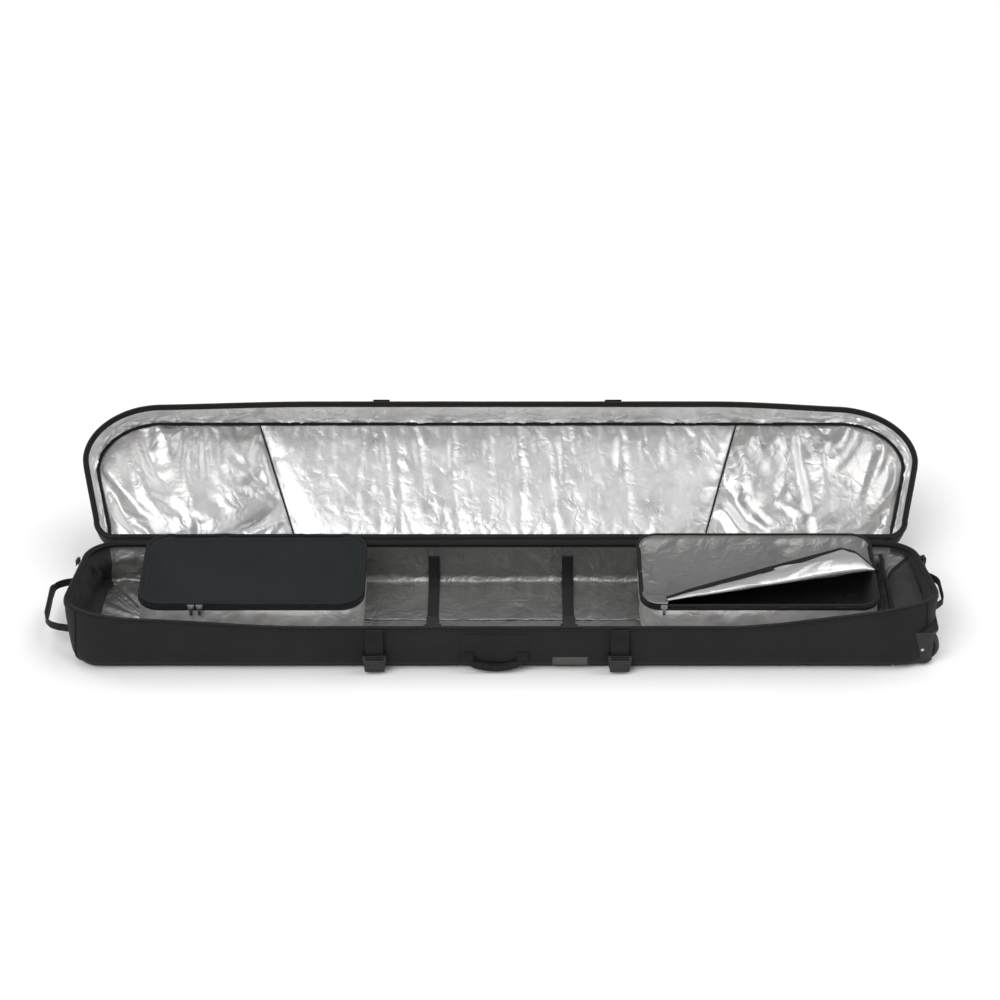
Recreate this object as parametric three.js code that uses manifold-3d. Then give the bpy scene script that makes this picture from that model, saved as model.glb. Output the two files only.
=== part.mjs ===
// A long padded wheeled travel bag for a snowboard or skis, shown open: a tray with two wheels at one end,
// a lid that swings back on a fabric hinge, and two zipped pouches that lift out of the tray.
// Millimetres. +X runs along the bag to the wheel end, +Y from the front wall to the lid's hinge, +Z up.
// The origin is the middle of the underside.
import * as THREE from "three";
import { mergeVertices } from "three/addons/utils/BufferGeometryUtils.js";
import Module from "manifold-3d";

const wasm = await Module();
wasm.setup();

// ---- driving dimensions ----
const HALF_LENGTH = 950; // the zip line's half length
const HALF_WIDTH = 165;
const BASE_HEIGHT = 116; // parting height at the hinge
const LID_DEPTH = 98;
const LID_TOP = BASE_HEIGHT + LID_DEPTH;
const HANDLE_END_RISE = 22; // how much higher the front of the zip line is at each end
const WHEEL_END_RISE = 45;
const GAP = 0.4; // between two layers that touch
const OUTER_CLOTH = 1.6;
const FOAM = 6.6;
const LINING = 1.2;
const WALL = OUTER_CLOTH + FOAM + LINING + 2 * GAP;
const LID_OPEN = 143; // degrees from closed to the open rest position
const HINGE = { y: HALF_WIDTH + 2.5, z: BASE_HEIGHT };
const RIM = { apart: 0.9, coil: 1.3, binding: 4, overlap: 0.5, coilInset: 1, coilWidth: 6 };
const BINDING_START = RIM.apart + RIM.coil + GAP; // from the parting line
const BINDING_END = BINDING_START + RIM.binding;
const SHELL_STOP = BINDING_END + GAP; // from the parting line to the edge of the cloth layers
const LAYER_DEPTHS = [0, OUTER_CLOTH, OUTER_CLOTH + GAP, OUTER_CLOTH + GAP + FOAM, WALL - LINING, WALL];
const BOTTOM_PANEL = 1.5;
const STIFFENER = 2;
const SHELL_FLOOR = BOTTOM_PANEL + STIFFENER + 2 * GAP; // underside of the outer cloth
const FLOOR_TOP = SHELL_FLOOR + WALL; // the lining that the load lies on

const WHEEL = { x: 914, y: 125, z: 43, radius: 38, width: 34, rim: 26, bearing: 11, axle: 4 };
const HOUSING = { x0: 856, x1: 948, halfWidth: 149, z0: 2, z1: 90, skin: 4, corner: 25, toe: 36, well: 3 };

const STRAPS = { left: -273, right: 257 };
const WEBBING = { width: 38, thick: 1.6 };
const FRONT_STRAP = { out: HALF_WIDTH + 9.2, z: BASE_HEIGHT - SHELL_STOP, webbing: 58 };
const TAIL = { out: HALF_WIDTH + 7, z: BASE_HEIGHT + 14, webbing: 40 };
const HAUL = { x: -12, halfSpan: 63, z: 42, y: -(HALF_WIDTH + 4.4) };
const END_HANDLE = { x: -945, z: 58, halfSpan: 88, reach: 52 };
const WHEEL_END_HANDLE = { reach: 13, z: 104, width: 16 };
const TIE_STRAPS = { left: -150, right: 150 };

const LEFT_POUCH = { x0: -787, x1: -297, halfWidth: 145, z0: FLOOR_TOP + 1, z1: 138 };
const RIGHT_POUCH = { x0: 303, x1: 820, halfWidth: 145, z0: FLOOR_TOP + 1, z1: 138 };
const POUCH_WALL = 3;
const POUCH_LEAN = 22; // how far the pouches' front leans back from foot to top

// ---- materials ----
const finish = (color, roughness, metalness = 0) =>
  new THREE.MeshStandardMaterial({ color, roughness, metalness });
const LOOKS = {
  shell: finish(0x2b2929, 0.85),
  foam: finish(0x8c8c88, 0.95),
  lining: finish(0xb9b7b3, 0.3, 0.6),
  board: finish(0x4a4a4c, 0.6),
  trim: finish(0x141414, 0.7),
  plastic: finish(0x151515, 0.45),
  tyre: finish(0x1d1d1d, 0.75),
  steel: finish(0xa5a5a5, 0.35, 0.9),
  label: finish(0x585856, 0.8),
  mesh: finish(0x292d2d, 0.8),
};

// ---- small helpers ----
const clamp = (v, lo = 0, hi = 1) => Math.min(hi, Math.max(lo, v));
const smooth = (v) => clamp(v) ** 2 * (3 - 2 * clamp(v));
const mix = (a, b, s) => a + (b - a) * s;
const steps = (n, f) => Array.from({ length: n }, (_, i) => f(i / n));
const radians = (deg) => (deg * Math.PI) / 180;

function geometryOf(vertices, triangles) {
  const g = new THREE.BufferGeometry();
  g.setAttribute("position", new THREE.Float32BufferAttribute(vertices.flat(), 3));
  g.setIndex(triangles.flat());
  return g;
}

function solid(geometry) {
  const g = geometry.index ? geometry.toNonIndexed() : geometry.clone();
  g.deleteAttribute("normal");
  g.deleteAttribute("uv");
  const merged = mergeVertices(g, 1e-3);
  return new wasm.Manifold(
    new wasm.Mesh({
      numProp: 3,
      vertProperties: new Float32Array(merged.attributes.position.array),
      triVerts: new Uint32Array(merged.index.array),
    }),
  );
}

function fromSolid(made) {
  const mesh = made.getMesh();
  const g = new THREE.BufferGeometry();
  g.setAttribute("position", new THREE.BufferAttribute(new Float32Array(mesh.vertProperties), 3));
  g.setIndex(new THREE.BufferAttribute(new Uint32Array(mesh.triVerts), 1));
  return g;
}

// An axis-aligned block from its low and high corners.
function block([x0, y0, z0], [x1, y1, z1]) {
  const g = new THREE.BoxGeometry(x1 - x0, y1 - y0, z1 - z0);
  return solid(g.translate((x0 + x1) / 2, (y0 + y1) / 2, (z0 + z1) / 2));
}

// A rod along Y.
function rod(radius, y0, y1, x, z, segments = 16) {
  const g = new THREE.CylinderGeometry(radius, radius, y1 - y0, segments);
  return solid(g.translate(x, (y0 + y1) / 2, z));
}

const joined = (first, ...rest) => rest.reduce((a, b) => a.add(b), first);
const cut = (first, ...rest) => rest.reduce((a, b) => a.subtract(b), first);

// A flat outline in a plane, given thickness along the plane's normal.
// plane "xz": points are (x, z) and the thickness runs along +Y from `from`;
// "yz": (y, z) along +X; "xy": (x, y) along +Z.
function slab(points, plane, from, thickness) {
  const area = THREE.ShapeUtils.area(points.map(([a, b]) => new THREE.Vector2(a, b)));
  const ordered = area < 0 ? [...points].reverse() : points;
  const shape = new THREE.Shape(ordered.map(([a, b]) => new THREE.Vector2(a, b)));
  const g = new THREE.ExtrudeGeometry(shape, { depth: thickness, bevelEnabled: false });
  if (plane === "xz") g.rotateX(Math.PI / 2).translate(0, from + thickness, 0);
  if (plane === "yz") g.rotateX(Math.PI / 2).rotateZ(Math.PI / 2).translate(from, 0, 0);
  if (plane === "xy") g.translate(0, 0, from);
  return solid(g);
}

// A strip of webbing or a wire: a line in a plane, given a thickness in that plane and a width across it.
function ribbon(line, thick, plane, from, width) {
  const side = line.map((p, i) => {
    const a = line[Math.max(0, i - 1)];
    const b = line[Math.min(line.length - 1, i + 1)];
    const length = Math.hypot(b[0] - a[0], b[1] - a[1]);
    return [(-(b[1] - a[1]) / length) * (thick / 2), ((b[0] - a[0]) / length) * (thick / 2)];
  });
  const over = line.map((p, i) => [p[0] + side[i][0], p[1] + side[i][1]]);
  const under = line.map((p, i) => [p[0] - side[i][0], p[1] - side[i][1]]).reverse();
  return slab([...over, ...under], plane, from, width);
}

// Closed body between rings of equal length, listed from one end to the other;
// both ends are capped from their middle.
// Rings run anticlockwise seen from above, and go upwards on the outside. The four-sided facets are split so that
// facing layers match and the two ends of the bag mirror each other.
function loft(rings) {
  const n = rings[0].length;
  const vertices = rings.flat();
  const triangles = [];
  for (let r = 0; r + 1 < rings.length; r++)
    for (let i = 0; i < n; i++) {
      const j = (i + 1) % n;
      const [a, b, c, d] = [r * n + i, r * n + j, (r + 1) * n + j, (r + 1) * n + i];
      const falls = rings[r + 1][0][2] < rings[r][0][2];
      const leftSide = rings[r][i][0] + rings[r][j][0] < 0;
      if (falls === leftSide) triangles.push([a, b, c], [a, c, d]);
      else triangles.push([a, b, d], [b, c, d]);
    }
  const cap = (ring, first, flip) => {
    const middle = [0, 1, 2].map((k) => ring.reduce((s, p) => s + p[k], 0) / n);
    vertices.push(middle);
    const m = vertices.length - 1;
    for (let i = 0; i < n; i++) {
      const j = (i + 1) % n;
      triangles.push(flip ? [m, first + j, first + i] : [m, first + i, first + j]);
    }
  };
  cap(rings[0], 0, true);
  cap(rings.at(-1), (rings.length - 1) * n, false);
  return solid(geometryOf(vertices, triangles));
}

// Closed band, such as a binding, from its outer and inner rings at its low and high edges.
function band(low, high, lowInner, highInner) {
  const n = low.length;
  const vertices = [low, high, highInner, lowInner].flat();
  const triangles = [];
  for (let r = 0; r < 4; r++)
    for (let i = 0; i < n; i++) {
      const j = (i + 1) % n;
      const s = (r + 1) % 4;
      triangles.push([r * n + i, r * n + j, s * n + j], [r * n + i, s * n + j, s * n + i]);
    }
  return solid(geometryOf(vertices, triangles));
}

// ---- the bag's outline in plan ----
// The two ends are alike: a rounded front corner, then a straight slant back to a rear corner. The lid is rounder
// than the tray, and the tray is squarer at the floor than at its rim.
const PLAN = {
  floor: { half: 934, rx: 60, ry: 60, slant: 14, rear: 56 },
  rim: { half: HALF_LENGTH, rx: 180, ry: 95, slant: 20, rear: 78 },
  lid: { half: HALF_LENGTH, rx: 172, ry: 138, slant: 34, rear: 46 },
};

function halfOutline(plan) {
  const { half, rx, ry, slant, rear } = plan;
  const frontStraight = steps(6, (t) => [mix(0, half - rx, t), -HALF_WIDTH]);
  const frontCorner = steps(7, (t) => {
    const a = radians(mix(-90, 0, t));
    return [half - rx + rx * Math.cos(a), -HALF_WIDTH + ry + ry * Math.sin(a)];
  });
  const endStraight = steps(3, (t) => [half - slant * t, mix(-HALF_WIDTH + ry, HALF_WIDTH - rear, t)]);
  const rearCorner = steps(4, (t) => {
    const a = radians(mix(0, 90, t));
    return [half - slant - rear + rear * Math.cos(a), HALF_WIDTH - rear + rear * Math.sin(a)];
  });
  const rearStraight = steps(6, (t) => [mix(half - slant - rear, 0, t), HALF_WIDTH]);
  return [...frontStraight, ...frontCorner, ...endStraight, ...rearCorner, ...rearStraight];
}

function wholeOutline(right) {
  const left = right.slice(1).map(([x, y]) => [-x, y]);
  return [...right, [0, HALF_WIDTH], ...left.reverse()];
}

// The tray's outline, from the floor at share 0 to the rim at share 1.
function trayOutline(share) {
  const [low, high] = [halfOutline(PLAN.floor), halfOutline(PLAN.rim)];
  return wholeOutline(low.map((p, i) => [mix(p[0], high[i][0], share), mix(p[1], high[i][1], share)]));
}

function normals(points) {
  return points.map((_, i) => {
    const a = points.at(i - 1);
    const b = points[(i + 1) % points.length];
    const length = Math.hypot(b[0] - a[0], b[1] - a[1]);
    return [-(b[1] - a[1]) / length, (b[0] - a[0]) / length];
  });
}

function insetBy(points, insets) {
  const inward = normals(points);
  return points.map(([x, y], i) => [x + inward[i][0] * insets[i], y + inward[i][1] * insets[i]]);
}

// Height of the line where lid and tray part.
function rimHeight([x, y]) {
  const rise = x < 0 ? HANDLE_END_RISE * smooth((-x - 420) / 430) : WHEEL_END_RISE * smooth((x - 480) / 430);
  return BASE_HEIGHT + (rise * (HALF_WIDTH - y)) / (2 * HALF_WIDTH);
}

const trayRim = { outline: trayOutline(1), heights: trayOutline(1).map(rimHeight) };
const lidRim = { outline: wholeOutline(halfOutline(PLAN.lid)) };
lidRim.heights = lidRim.outline.map(rimHeight);

// Moves an open line of (inset, z) points sideways by `depth`, towards growing inset.
function offsetProfile(line, depth, upward) {
  const unit = (p, q) => {
    const l = Math.hypot(q[0] - p[0], q[1] - p[1]);
    return [((q[1] - p[1]) / l) * upward, (-(q[0] - p[0]) / l) * upward];
  };
  return line.map((p, i) => {
    const first = i ? unit(line[i - 1], p) : [0, upward];
    const second = i + 1 < line.length ? unit(p, line[i + 1]) : first;
    const sum = [first[0] + second[0], first[1] + second[1]];
    const scale = 2 / (sum[0] ** 2 + sum[1] ** 2);
    return [p[0] + sum[0] * scale * depth, p[1] + sum[1] * scale * depth];
  });
}

// Rings of the tray's surface, `depth` inside its outer face,
// from the floor up to `below` under the parting line.
function trayRings(depth, below) {
  const shares = [0, 0, 0.15, 0.6, 1];
  const profiles = trayRim.heights.map((h) => {
    const line = [[28, SHELL_FLOOR], [11, SHELL_FLOOR + 6], [2.5, 30], [0, 0.62 * h], [0, h]];
    const moved = offsetProfile(line, depth, 1);
    moved[4][1] = h - below;
    moved[3][1] = 0.62 * h;
    return moved;
  });
  return shares.map((share, level) => {
    const ring = insetBy(trayOutline(share), profiles.map((p) => p[level][0]));
    return ring.map(([x, y], i) => [x, y, profiles[i][level][1]]);
  });
}

// Rings of the closed lid's surface, from `above` over the parting line up to its top panel.
function lidRings(depth, above) {
  const profiles = lidRim.heights.map((h) => {
    const line = [[26, LID_TOP], [10, LID_TOP - 5], [3, LID_TOP - 18], [0, mix(h, LID_TOP, 0.5)], [0, h]];
    const moved = offsetProfile(line, depth, -1);
    moved[4][1] = h + above;
    moved[3][1] = mix(h, LID_TOP, 0.5);
    return moved;
  });
  return [4, 3, 2, 1, 0].map((level) => {
    const ring = insetBy(lidRim.outline, profiles.map((p) => p[level][0]));
    return ring.map(([x, y], i) => [x, y, profiles[i][level][1]]);
  });
}

// One cloth or foam layer between two depths: up the outside and down the inside.
const trayLayer = (from, to) => loft([...trayRings(from, SHELL_STOP), ...trayRings(to, SHELL_STOP).reverse()]);
const lidLayer = (from, to) => loft([...lidRings(to, SHELL_STOP).reverse(), ...lidRings(from, SHELL_STOP)]);

// A strip that runs round a rim: from depth t0 to t1, from z0 to z1 over the parting line.
function rimStrip({ outline, heights }, t0, t1, z0, z1) {
  const at = (t, dz) => {
    const ring = insetBy(outline, outline.map(() => t));
    return ring.map(([x, y], i) => [x, y, heights[i] + dz]);
  };
  return band(at(t0, z0), at(t0, z1), at(t1, z0), at(t1, z1));
}

// One half of the zip, and the binding over the cloth edges behind it; up is 1 on the lid and -1 on the tray.
function zipCoil(rim, up) {
  const [near, far] = [RIM.apart, RIM.apart + RIM.coil].map((z) => up * z);
  return rimStrip(rim, RIM.coilInset, RIM.coilInset + RIM.coilWidth, Math.min(near, far), Math.max(near, far));
}

function rimBinding(rim, up) {
  const [near, far] = [BINDING_START, BINDING_END].map((z) => up * z);
  return rimStrip(rim, -RIM.overlap, WALL + RIM.overlap, Math.min(near, far), Math.max(near, far));
}

// The tray and the lid as full bodies, grown outwards, and cloth laid on their outside within a block.
const grownTray = (t) => loft(trayRings(-t, SHELL_STOP));
const grownLid = (t) => loft(lidRings(-t, SHELL_STOP));
const layOn = (grown, region, thick) => cut(grown(GAP + thick), grown(GAP)).intersect(region);

// ---- the scene ----
const bag = new THREE.Group();
const lid = new THREE.Group(); // modelled closed, then swung open about the hinge
const closedLid = new THREE.Group();
lid.position.set(0, HINGE.y, HINGE.z);
lid.rotation.x = -radians(LID_OPEN);
closedLid.position.set(0, -HINGE.y, -HINGE.z);
lid.add(closedLid);
bag.add(lid);

function put(group, name, made, look) {
  const mesh = new THREE.Mesh(fromSolid(made), LOOKS[look]);
  mesh.name = name;
  group.add(mesh);
}

// ---- wheel end ----
function housingProfile(skin) {
  const { x0, x1, z0, z1, toe } = HOUSING;
  const radius = toe - skin;
  const arc = steps(8, (t) => {
    const a = radians(mix(-105, 0, t));
    return [WHEEL.x + radius * Math.cos(a), WHEEL.z + radius * Math.sin(a)];
  });
  return [[x0 + skin, z0 + skin], ...arc, [x1 - skin, z1], [x0 + skin, z1]];
}

function housingEnvelope(grow) {
  const { x0, x1, halfWidth, corner } = HOUSING;
  const round = corner + grow;
  const turn = (sign) =>
    steps(6, (t) => {
      const a = radians(mix(-90, 0, t));
      return [x1 - corner + round * Math.cos(a), sign * (halfWidth - corner - round * Math.sin(a))];
    });
  const front = turn(1).map(([x, y]) => [x, -y]);
  const rear = turn(1).reverse();
  const plan = [[x0 - grow, -halfWidth - grow], ...front, ...rear, [x0 - grow, halfWidth + grow]];
  const side = slab(housingProfile(-grow), "xz", -halfWidth - 5, 2 * halfWidth + 10);
  return slab(plan, "xy", -2, HOUSING.z1 + grow + 2).intersect(side);
}

function wheelHousing() {
  const { halfWidth, z1, skin } = HOUSING;
  const well = WHEEL.width / 2 + HOUSING.well;
  const inner = WHEEL.y - well;
  let made = housingEnvelope(0);
  made = made.subtract(slab([...housingProfile(skin)].map(([x, z]) => [x, z === z1 ? z1 + 5 : z]),
    "xz", -(inner - skin - 1), 2 * (inner - skin - 1)));
  for (const side of [-1, 1]) {
    const [a, b] = [side * (WHEEL.y - well), side * (WHEEL.y + well)];
    const reach = WHEEL.radius + HOUSING.well;
    made = made.subtract(
      block([WHEEL.x - reach, Math.min(a, b), -10], [WHEEL.x + 100, Math.max(a, b), WHEEL.z + reach]),
    );
    const [c, d] = [side * (inner - skin - 6), side * (halfWidth + 5)];
    made = made.subtract(rod(WHEEL.axle + GAP, Math.min(c, d), Math.max(c, d), WHEEL.x, WHEEL.z));
  }
  return made;
}

// A round piece on the wheel's axle, from a profile of (radius, distance from the wheel's middle) points.
function turned(profile, side, segments = 28) {
  const g = new THREE.LatheGeometry(profile.map(([r, y]) => new THREE.Vector2(r, y)), segments);
  return solid(g.translate(WHEEL.x, side * WHEEL.y, WHEEL.z));
}

function buildWheel(name, side) {
  const { radius, width, rim, bearing, axle } = WHEEL;
  const h = width / 2;
  const tyre = [[rim + GAP, -h + 3], [radius - 5, -h], [radius - 1, -h + 5], [radius, 0],
    [radius - 1, h - 5], [radius - 5, h], [rim + GAP, h - 3], [rim + GAP, -h + 3]];
  put(bag, `${name}_tyre`, turned(tyre, side), "tyre");
  const hub = [[bearing + GAP, -h + 4], [rim - 6, -h + 9], [rim - 5, -h + 4], [rim, -h + 4],
    [rim, h - 4], [rim - 5, h - 4], [rim - 6, h - 9], [bearing + GAP, h - 4], [bearing + GAP, -h + 4]];
  put(bag, `${name}_hub`, turned(hub, side), "plastic");
  for (const [end, s] of [["inner", -1], ["outer", 1]]) {
    const middle = s * side * (h - 8);
    put(bag, `${name}_bearing_${end}`, turned([[axle + GAP, middle - 3.5], [bearing, middle - 3.5],
      [bearing, middle + 3.5], [axle + GAP, middle + 3.5], [axle + GAP, middle - 3.5]], side, 16), "steel");
  }
  const inside = side * (WHEEL.y - h - 3 - HOUSING.skin - 1);
  const head = rod(WHEEL.axle + 3, Math.min(inside - side * 0.4, inside - side * 3.4),
    Math.max(inside - side * 0.4, inside - side * 3.4), WHEEL.x, WHEEL.z, 6);
  const shaft = rod(WHEEL.axle, Math.min(inside - side * 1.4, side * (HOUSING.halfWidth - 1)),
    Math.max(inside - side * 1.4, side * (HOUSING.halfWidth - 1)), WHEEL.x, WHEEL.z, 16);
  put(bag, `${name}_axle`, head.add(shaft), "steel");
}

// ---- the tray ----
function buildTray() {
  const well = WHEEL.width / 2 + HOUSING.well;
  const sides = [-WHEEL.y, WHEEL.y];
  const wells = sides.map((y) => rod(WHEEL.radius + HOUSING.well, y - well, y + well, WHEEL.x, WHEEL.z, 24));
  const { x0, halfWidth } = HOUSING;
  const underToe = block([x0 - GAP, -halfWidth - GAP, -5], [1000, halfWidth + GAP, WHEEL.z]);
  const away = joined(housingEnvelope(GAP), underToe, ...wells);
  const layer = (i) => cut(trayLayer(LAYER_DEPTHS[i], LAYER_DEPTHS[i + 1]), away);
  put(bag, "base_outer_shell", layer(0), "shell");
  put(bag, "base_foam", layer(2), "foam");
  put(bag, "base_lining", layer(4), "lining");
  const sheet = (z0, z1, inset) => {
    const plan = insetBy(trayOutline(0), trayOutline(0).map(() => inset));
    return cut(slab(plan, "xy", z0, z1 - z0), block([HOUSING.x0 - 2, -300, -5], [1200, 300, 20]));
  };
  put(bag, "bottom_panel", sheet(0, BOTTOM_PANEL, 28), "shell");
  put(bag, "floor_stiffener", sheet(BOTTOM_PANEL + GAP, BOTTOM_PANEL + GAP + STIFFENER, 34), "board");
  put(bag, "base_zip_coil", zipCoil(trayRim, -1), "trim");
  put(bag, "base_rim_binding", rimBinding(trayRim, -1), "trim");
  const cover = loft([...trayRings(WALL + GAP, SHELL_STOP)]);
  const hollow = block([HOUSING.x0 - 2, -300, -5], [1200, 300, HOUSING.z1 + GAP]);
  const over = block([HOUSING.x0 - 2 - LINING, -300, -5], [1200, 300, HOUSING.z1 + GAP + LINING]);
  put(bag, "wheel_well_cover", cover.intersect(over).subtract(hollow), "lining");
  put(bag, "wheel_housing", wheelHousing(), "plastic");
  const hingeEnd = HALF_LENGTH - PLAN.rim.slant - PLAN.rim.rear - 8;
  put(bag, "hinge_panel", block([-hingeEnd, HALF_WIDTH + 0.9, BASE_HEIGHT - 42],
    [hingeEnd, HALF_WIDTH + 2.1, BASE_HEIGHT - 1]), "shell");
  put(bag, "label_patch", layOn(grownTray, block([112, -200, 9], [188, 0, 37]), 1), "label");
}

// ---- the lid ----
function buildLid() {
  const layer = (i) => lidLayer(LAYER_DEPTHS[i], LAYER_DEPTHS[i + 1]);
  put(closedLid, "lid_outer_shell", layer(0), "shell");
  put(closedLid, "lid_foam", layer(2), "foam");
  put(closedLid, "lid_lining", layer(4), "lining");
  put(closedLid, "lid_zip_coil", zipCoil(lidRim, 1), "trim");
  put(closedLid, "lid_rim_binding", rimBinding(lidRim, 1), "trim");
  const seam = (t, dz) => {
    const ring = lidRings(WALL + t, SHELL_STOP)[3];
    return ring.map(([x, y, z]) => [x, y, z + dz]);
  };
  put(closedLid, "lid_seam_binding", band(seam(1, -5), seam(1, -1), seam(5, -5), seam(5, -1)), "trim");
  for (const [side, x] of Object.entries(STRAPS)) {
    const [x0, x1] = [x - WEBBING.width / 2, x + WEBBING.width / 2];
    const onTop = block([x0, -200, LID_TOP - 20], [x1, 130, 300]);
    const onFront = block([x0, -200, BASE_HEIGHT + 10], [x1, -120, 300]);
    put(closedLid, `lid_strap_${side}`, layOn(grownLid, onTop.add(onFront), WEBBING.thick), "trim");
  }
}

// ---- side-release buckles; local frame: x across, z along the strap, mouth or prongs towards -z ----
const BUCKLE = { width: 52, thick: 14, length: 42, mouth: 38, mouthThick: 8.4, depth: 27 };

function femaleBuckle() {
  const { width, thick, length, mouth, mouthThick, depth } = BUCKLE;
  const w = width / 2;
  const outline = [[-w, 0], [-w + 1, -12], [-w + 5, -length], [w - 5, -length], [w - 1, -12], [w, 0]];
  let made = slab(outline, "xz", -thick / 2, thick);
  const hole = block([-mouth / 2, -mouthThick / 2, -length - 1], [mouth / 2, mouthThick / 2, -length + depth]);
  made = cut(made, hole);
  for (const side of [-1, 1]) {
    const [a, b] = [side * (w - 8), side * (w + 2)];
    made = cut(made, block([Math.min(a, b), -4, -length + 9], [Math.max(a, b), 4, -length + 22]));
  }
  return cut(made, block([-20, -thick, -10.5], [20, thick, -7.5]), block([-20, -thick, -4.8], [20, thick, -2.2]));
}

function maleBuckle() {
  const w = BUCKLE.width / 2;
  let made = block([-w, -4, -14], [w, 4, 0]);
  made = cut(made, block([-20, -10, -11.5], [20, 10, -8.5]), block([-20, -10, -5.2], [20, 10, -2.4]));
  const arm = (side) => slab([[side * 13, -13], [side * 18, -13], [side * 17.5, -26], [side * 23, -30], [side * 17, -38],
    [side * 12, -34]], "xz", -3.4, 6.8);
  return joined(made, arm(-1), arm(1), block([-3.5, -3, -36], [3.5, 3, -13]));
}

// A strap end that hangs from its sewn edge, with half a buckle on it. The group's origin is the sewn edge.
function hangingStrap(parent, name, webbingLength, buckle, buckleName) {
  const reach = WEBBING.width / 2;
  const band = block([-reach, -WEBBING.thick / 2, -webbingLength], [reach, WEBBING.thick / 2, -1.2]);
  put(parent, `${name}_webbing`, band, "trim");
  const group = new THREE.Group();
  group.position.set(0, 0, -webbingLength - GAP);
  put(group, buckleName, buckle, "plastic");
  parent.add(group);
}

function buildStraps() {
  for (const [side, x] of Object.entries(STRAPS)) {
    const front = new THREE.Group();
    front.position.set(x, -FRONT_STRAP.out, FRONT_STRAP.z);
    hangingStrap(front, `front_strap_${side}`, FRONT_STRAP.webbing, femaleBuckle(), `front_buckle_${side}`);
    bag.add(front);
    const tail = new THREE.Group(); // lies back along the lid's front side while the lid stands open
    tail.position.set(x, -TAIL.out, TAIL.z);
    tail.rotation.x = Math.PI;
    hangingStrap(tail, `lid_tail_${side}`, TAIL.webbing, maleBuckle(), `lid_buckle_${side}`);
    closedLid.add(tail);
  }
}

// ---- handles ----
function buildHandles() {
  const { x, halfSpan, z, y } = HAUL;
  const tab = (cx) => block([cx - 13, y + 0.6, z - 1], [cx + 13, -HALF_WIDTH + 6, z + 13]);
  const haulPanel = layOn(grownTray, block([x - 70, -200, 12], [x + 70, 0, 100]), 1.6);
  const haulTabs = cut(joined(tab(x - halfSpan + 8), tab(x + halfSpan - 8)), grownTray(GAP));
  put(bag, "haul_handle_panel", haulPanel.add(haulTabs), "shell");
  const droop = (dz, width) =>
    steps(12, (t) => t * (12 / 11)).map((t) => {
      const u = 2 * t - 1;
      return [x + u * (halfSpan - (1 - width) * 6), z - 2 + dz - 17 * (1 - u * u)];
    });
  const grip = slab([...droop(0, 1), ...droop(-20, 0).reverse()], "xz", y - 8, 8);
  put(bag, "haul_handle", grip, "trim");

  const e = END_HANDLE;
  const endPanel = layOn(grownTray, block([-1100, -110, e.z - 24], [-800, 110, e.z + 24]), 1.6);
  const stub = (s) => cut(block([e.x + 0.4, s > 0 ? e.halfSpan - 14 : -e.halfSpan - 2, e.z - 8],
    [-890, s > 0 ? e.halfSpan + 2 : -e.halfSpan + 14, e.z + 8]), grownTray(GAP));
  put(bag, "end_handle_panel", joined(endPanel, stub(1), stub(-1)), "shell");
  const loop = [[e.x - 8, -e.halfSpan + 6], [e.x - 22, -e.halfSpan + 9], [e.x - e.reach, -e.halfSpan + 30],
    [e.x - e.reach, e.halfSpan - 30], [e.x - 22, e.halfSpan - 9], [e.x - 8, e.halfSpan - 6]];
  const narrow = ribbon(loop, 5, "xy", e.z - 5, 10);
  const middle = loop.slice(1, 5).map(([a, b], i) => (i === 0 || i === 3 ? [a - 6, b * 0.9] : [a, b]));
  const wide = ribbon(middle, 5.4, "xy", e.z - 16, 32);
  put(bag, "end_handle", narrow.add(wide), "trim");

  const w = WHEEL_END_HANDLE;
  const across = [[-86, -12], [-70, 9], [-56, w.reach], [-14, w.reach], [16, w.reach - 4], [38, -16]];
  const strip = ribbon(across.map(([along, out]) => [HALF_LENGTH + out, along]), 3, "xy", w.z, w.width);
  put(bag, "wheel_end_handle", cut(strip, grownTray(GAP)), "trim");
}

// ---- zip sliders ----
// Outside the rim on the straight slant of each end: body, and a pull that hangs from it.
function buildSliders() {
  for (const [name, side] of [["handle_end", -1], ["wheel_end", 1]]) {
    const a = [HALF_LENGTH, -HALF_WIDTH + PLAN.rim.ry];
    const b = [HALF_LENGTH - PLAN.rim.slant, HALF_WIDTH - PLAN.rim.rear];
    const length = Math.hypot(b[0] - a[0], b[1] - a[1]);
    const along = [(b[0] - a[0]) / length, (b[1] - a[1]) / length];
    const group = new THREE.Group();
    const at = length - 12; // parked near the hinge
    const p = [a[0] + along[0] * at, a[1] + along[1] * at];
    group.position.set(side * (p[0] + along[1] * 5), p[1] - along[0] * 5, rimHeight([side * p[0], p[1]]));
    group.rotation.z = side * Math.atan2(-along[0], along[1]);
    const body = block([-3.2, -8, -4.5], [3.2, 8, 4.5]);
    const pull = block([side * 4.4 - 1, -3.5, -12], [side * 4.4 + 1, 3.5, 2]);
    const bridge = block([Math.min(side * 2, side * 5), -3.5, -2], [Math.max(side * 2, side * 5), 3.5, 2]);
    put(group, `main_zip_slider_${name}`, joined(body, bridge, pull), "steel");
    bag.add(group);
  }
}

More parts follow.
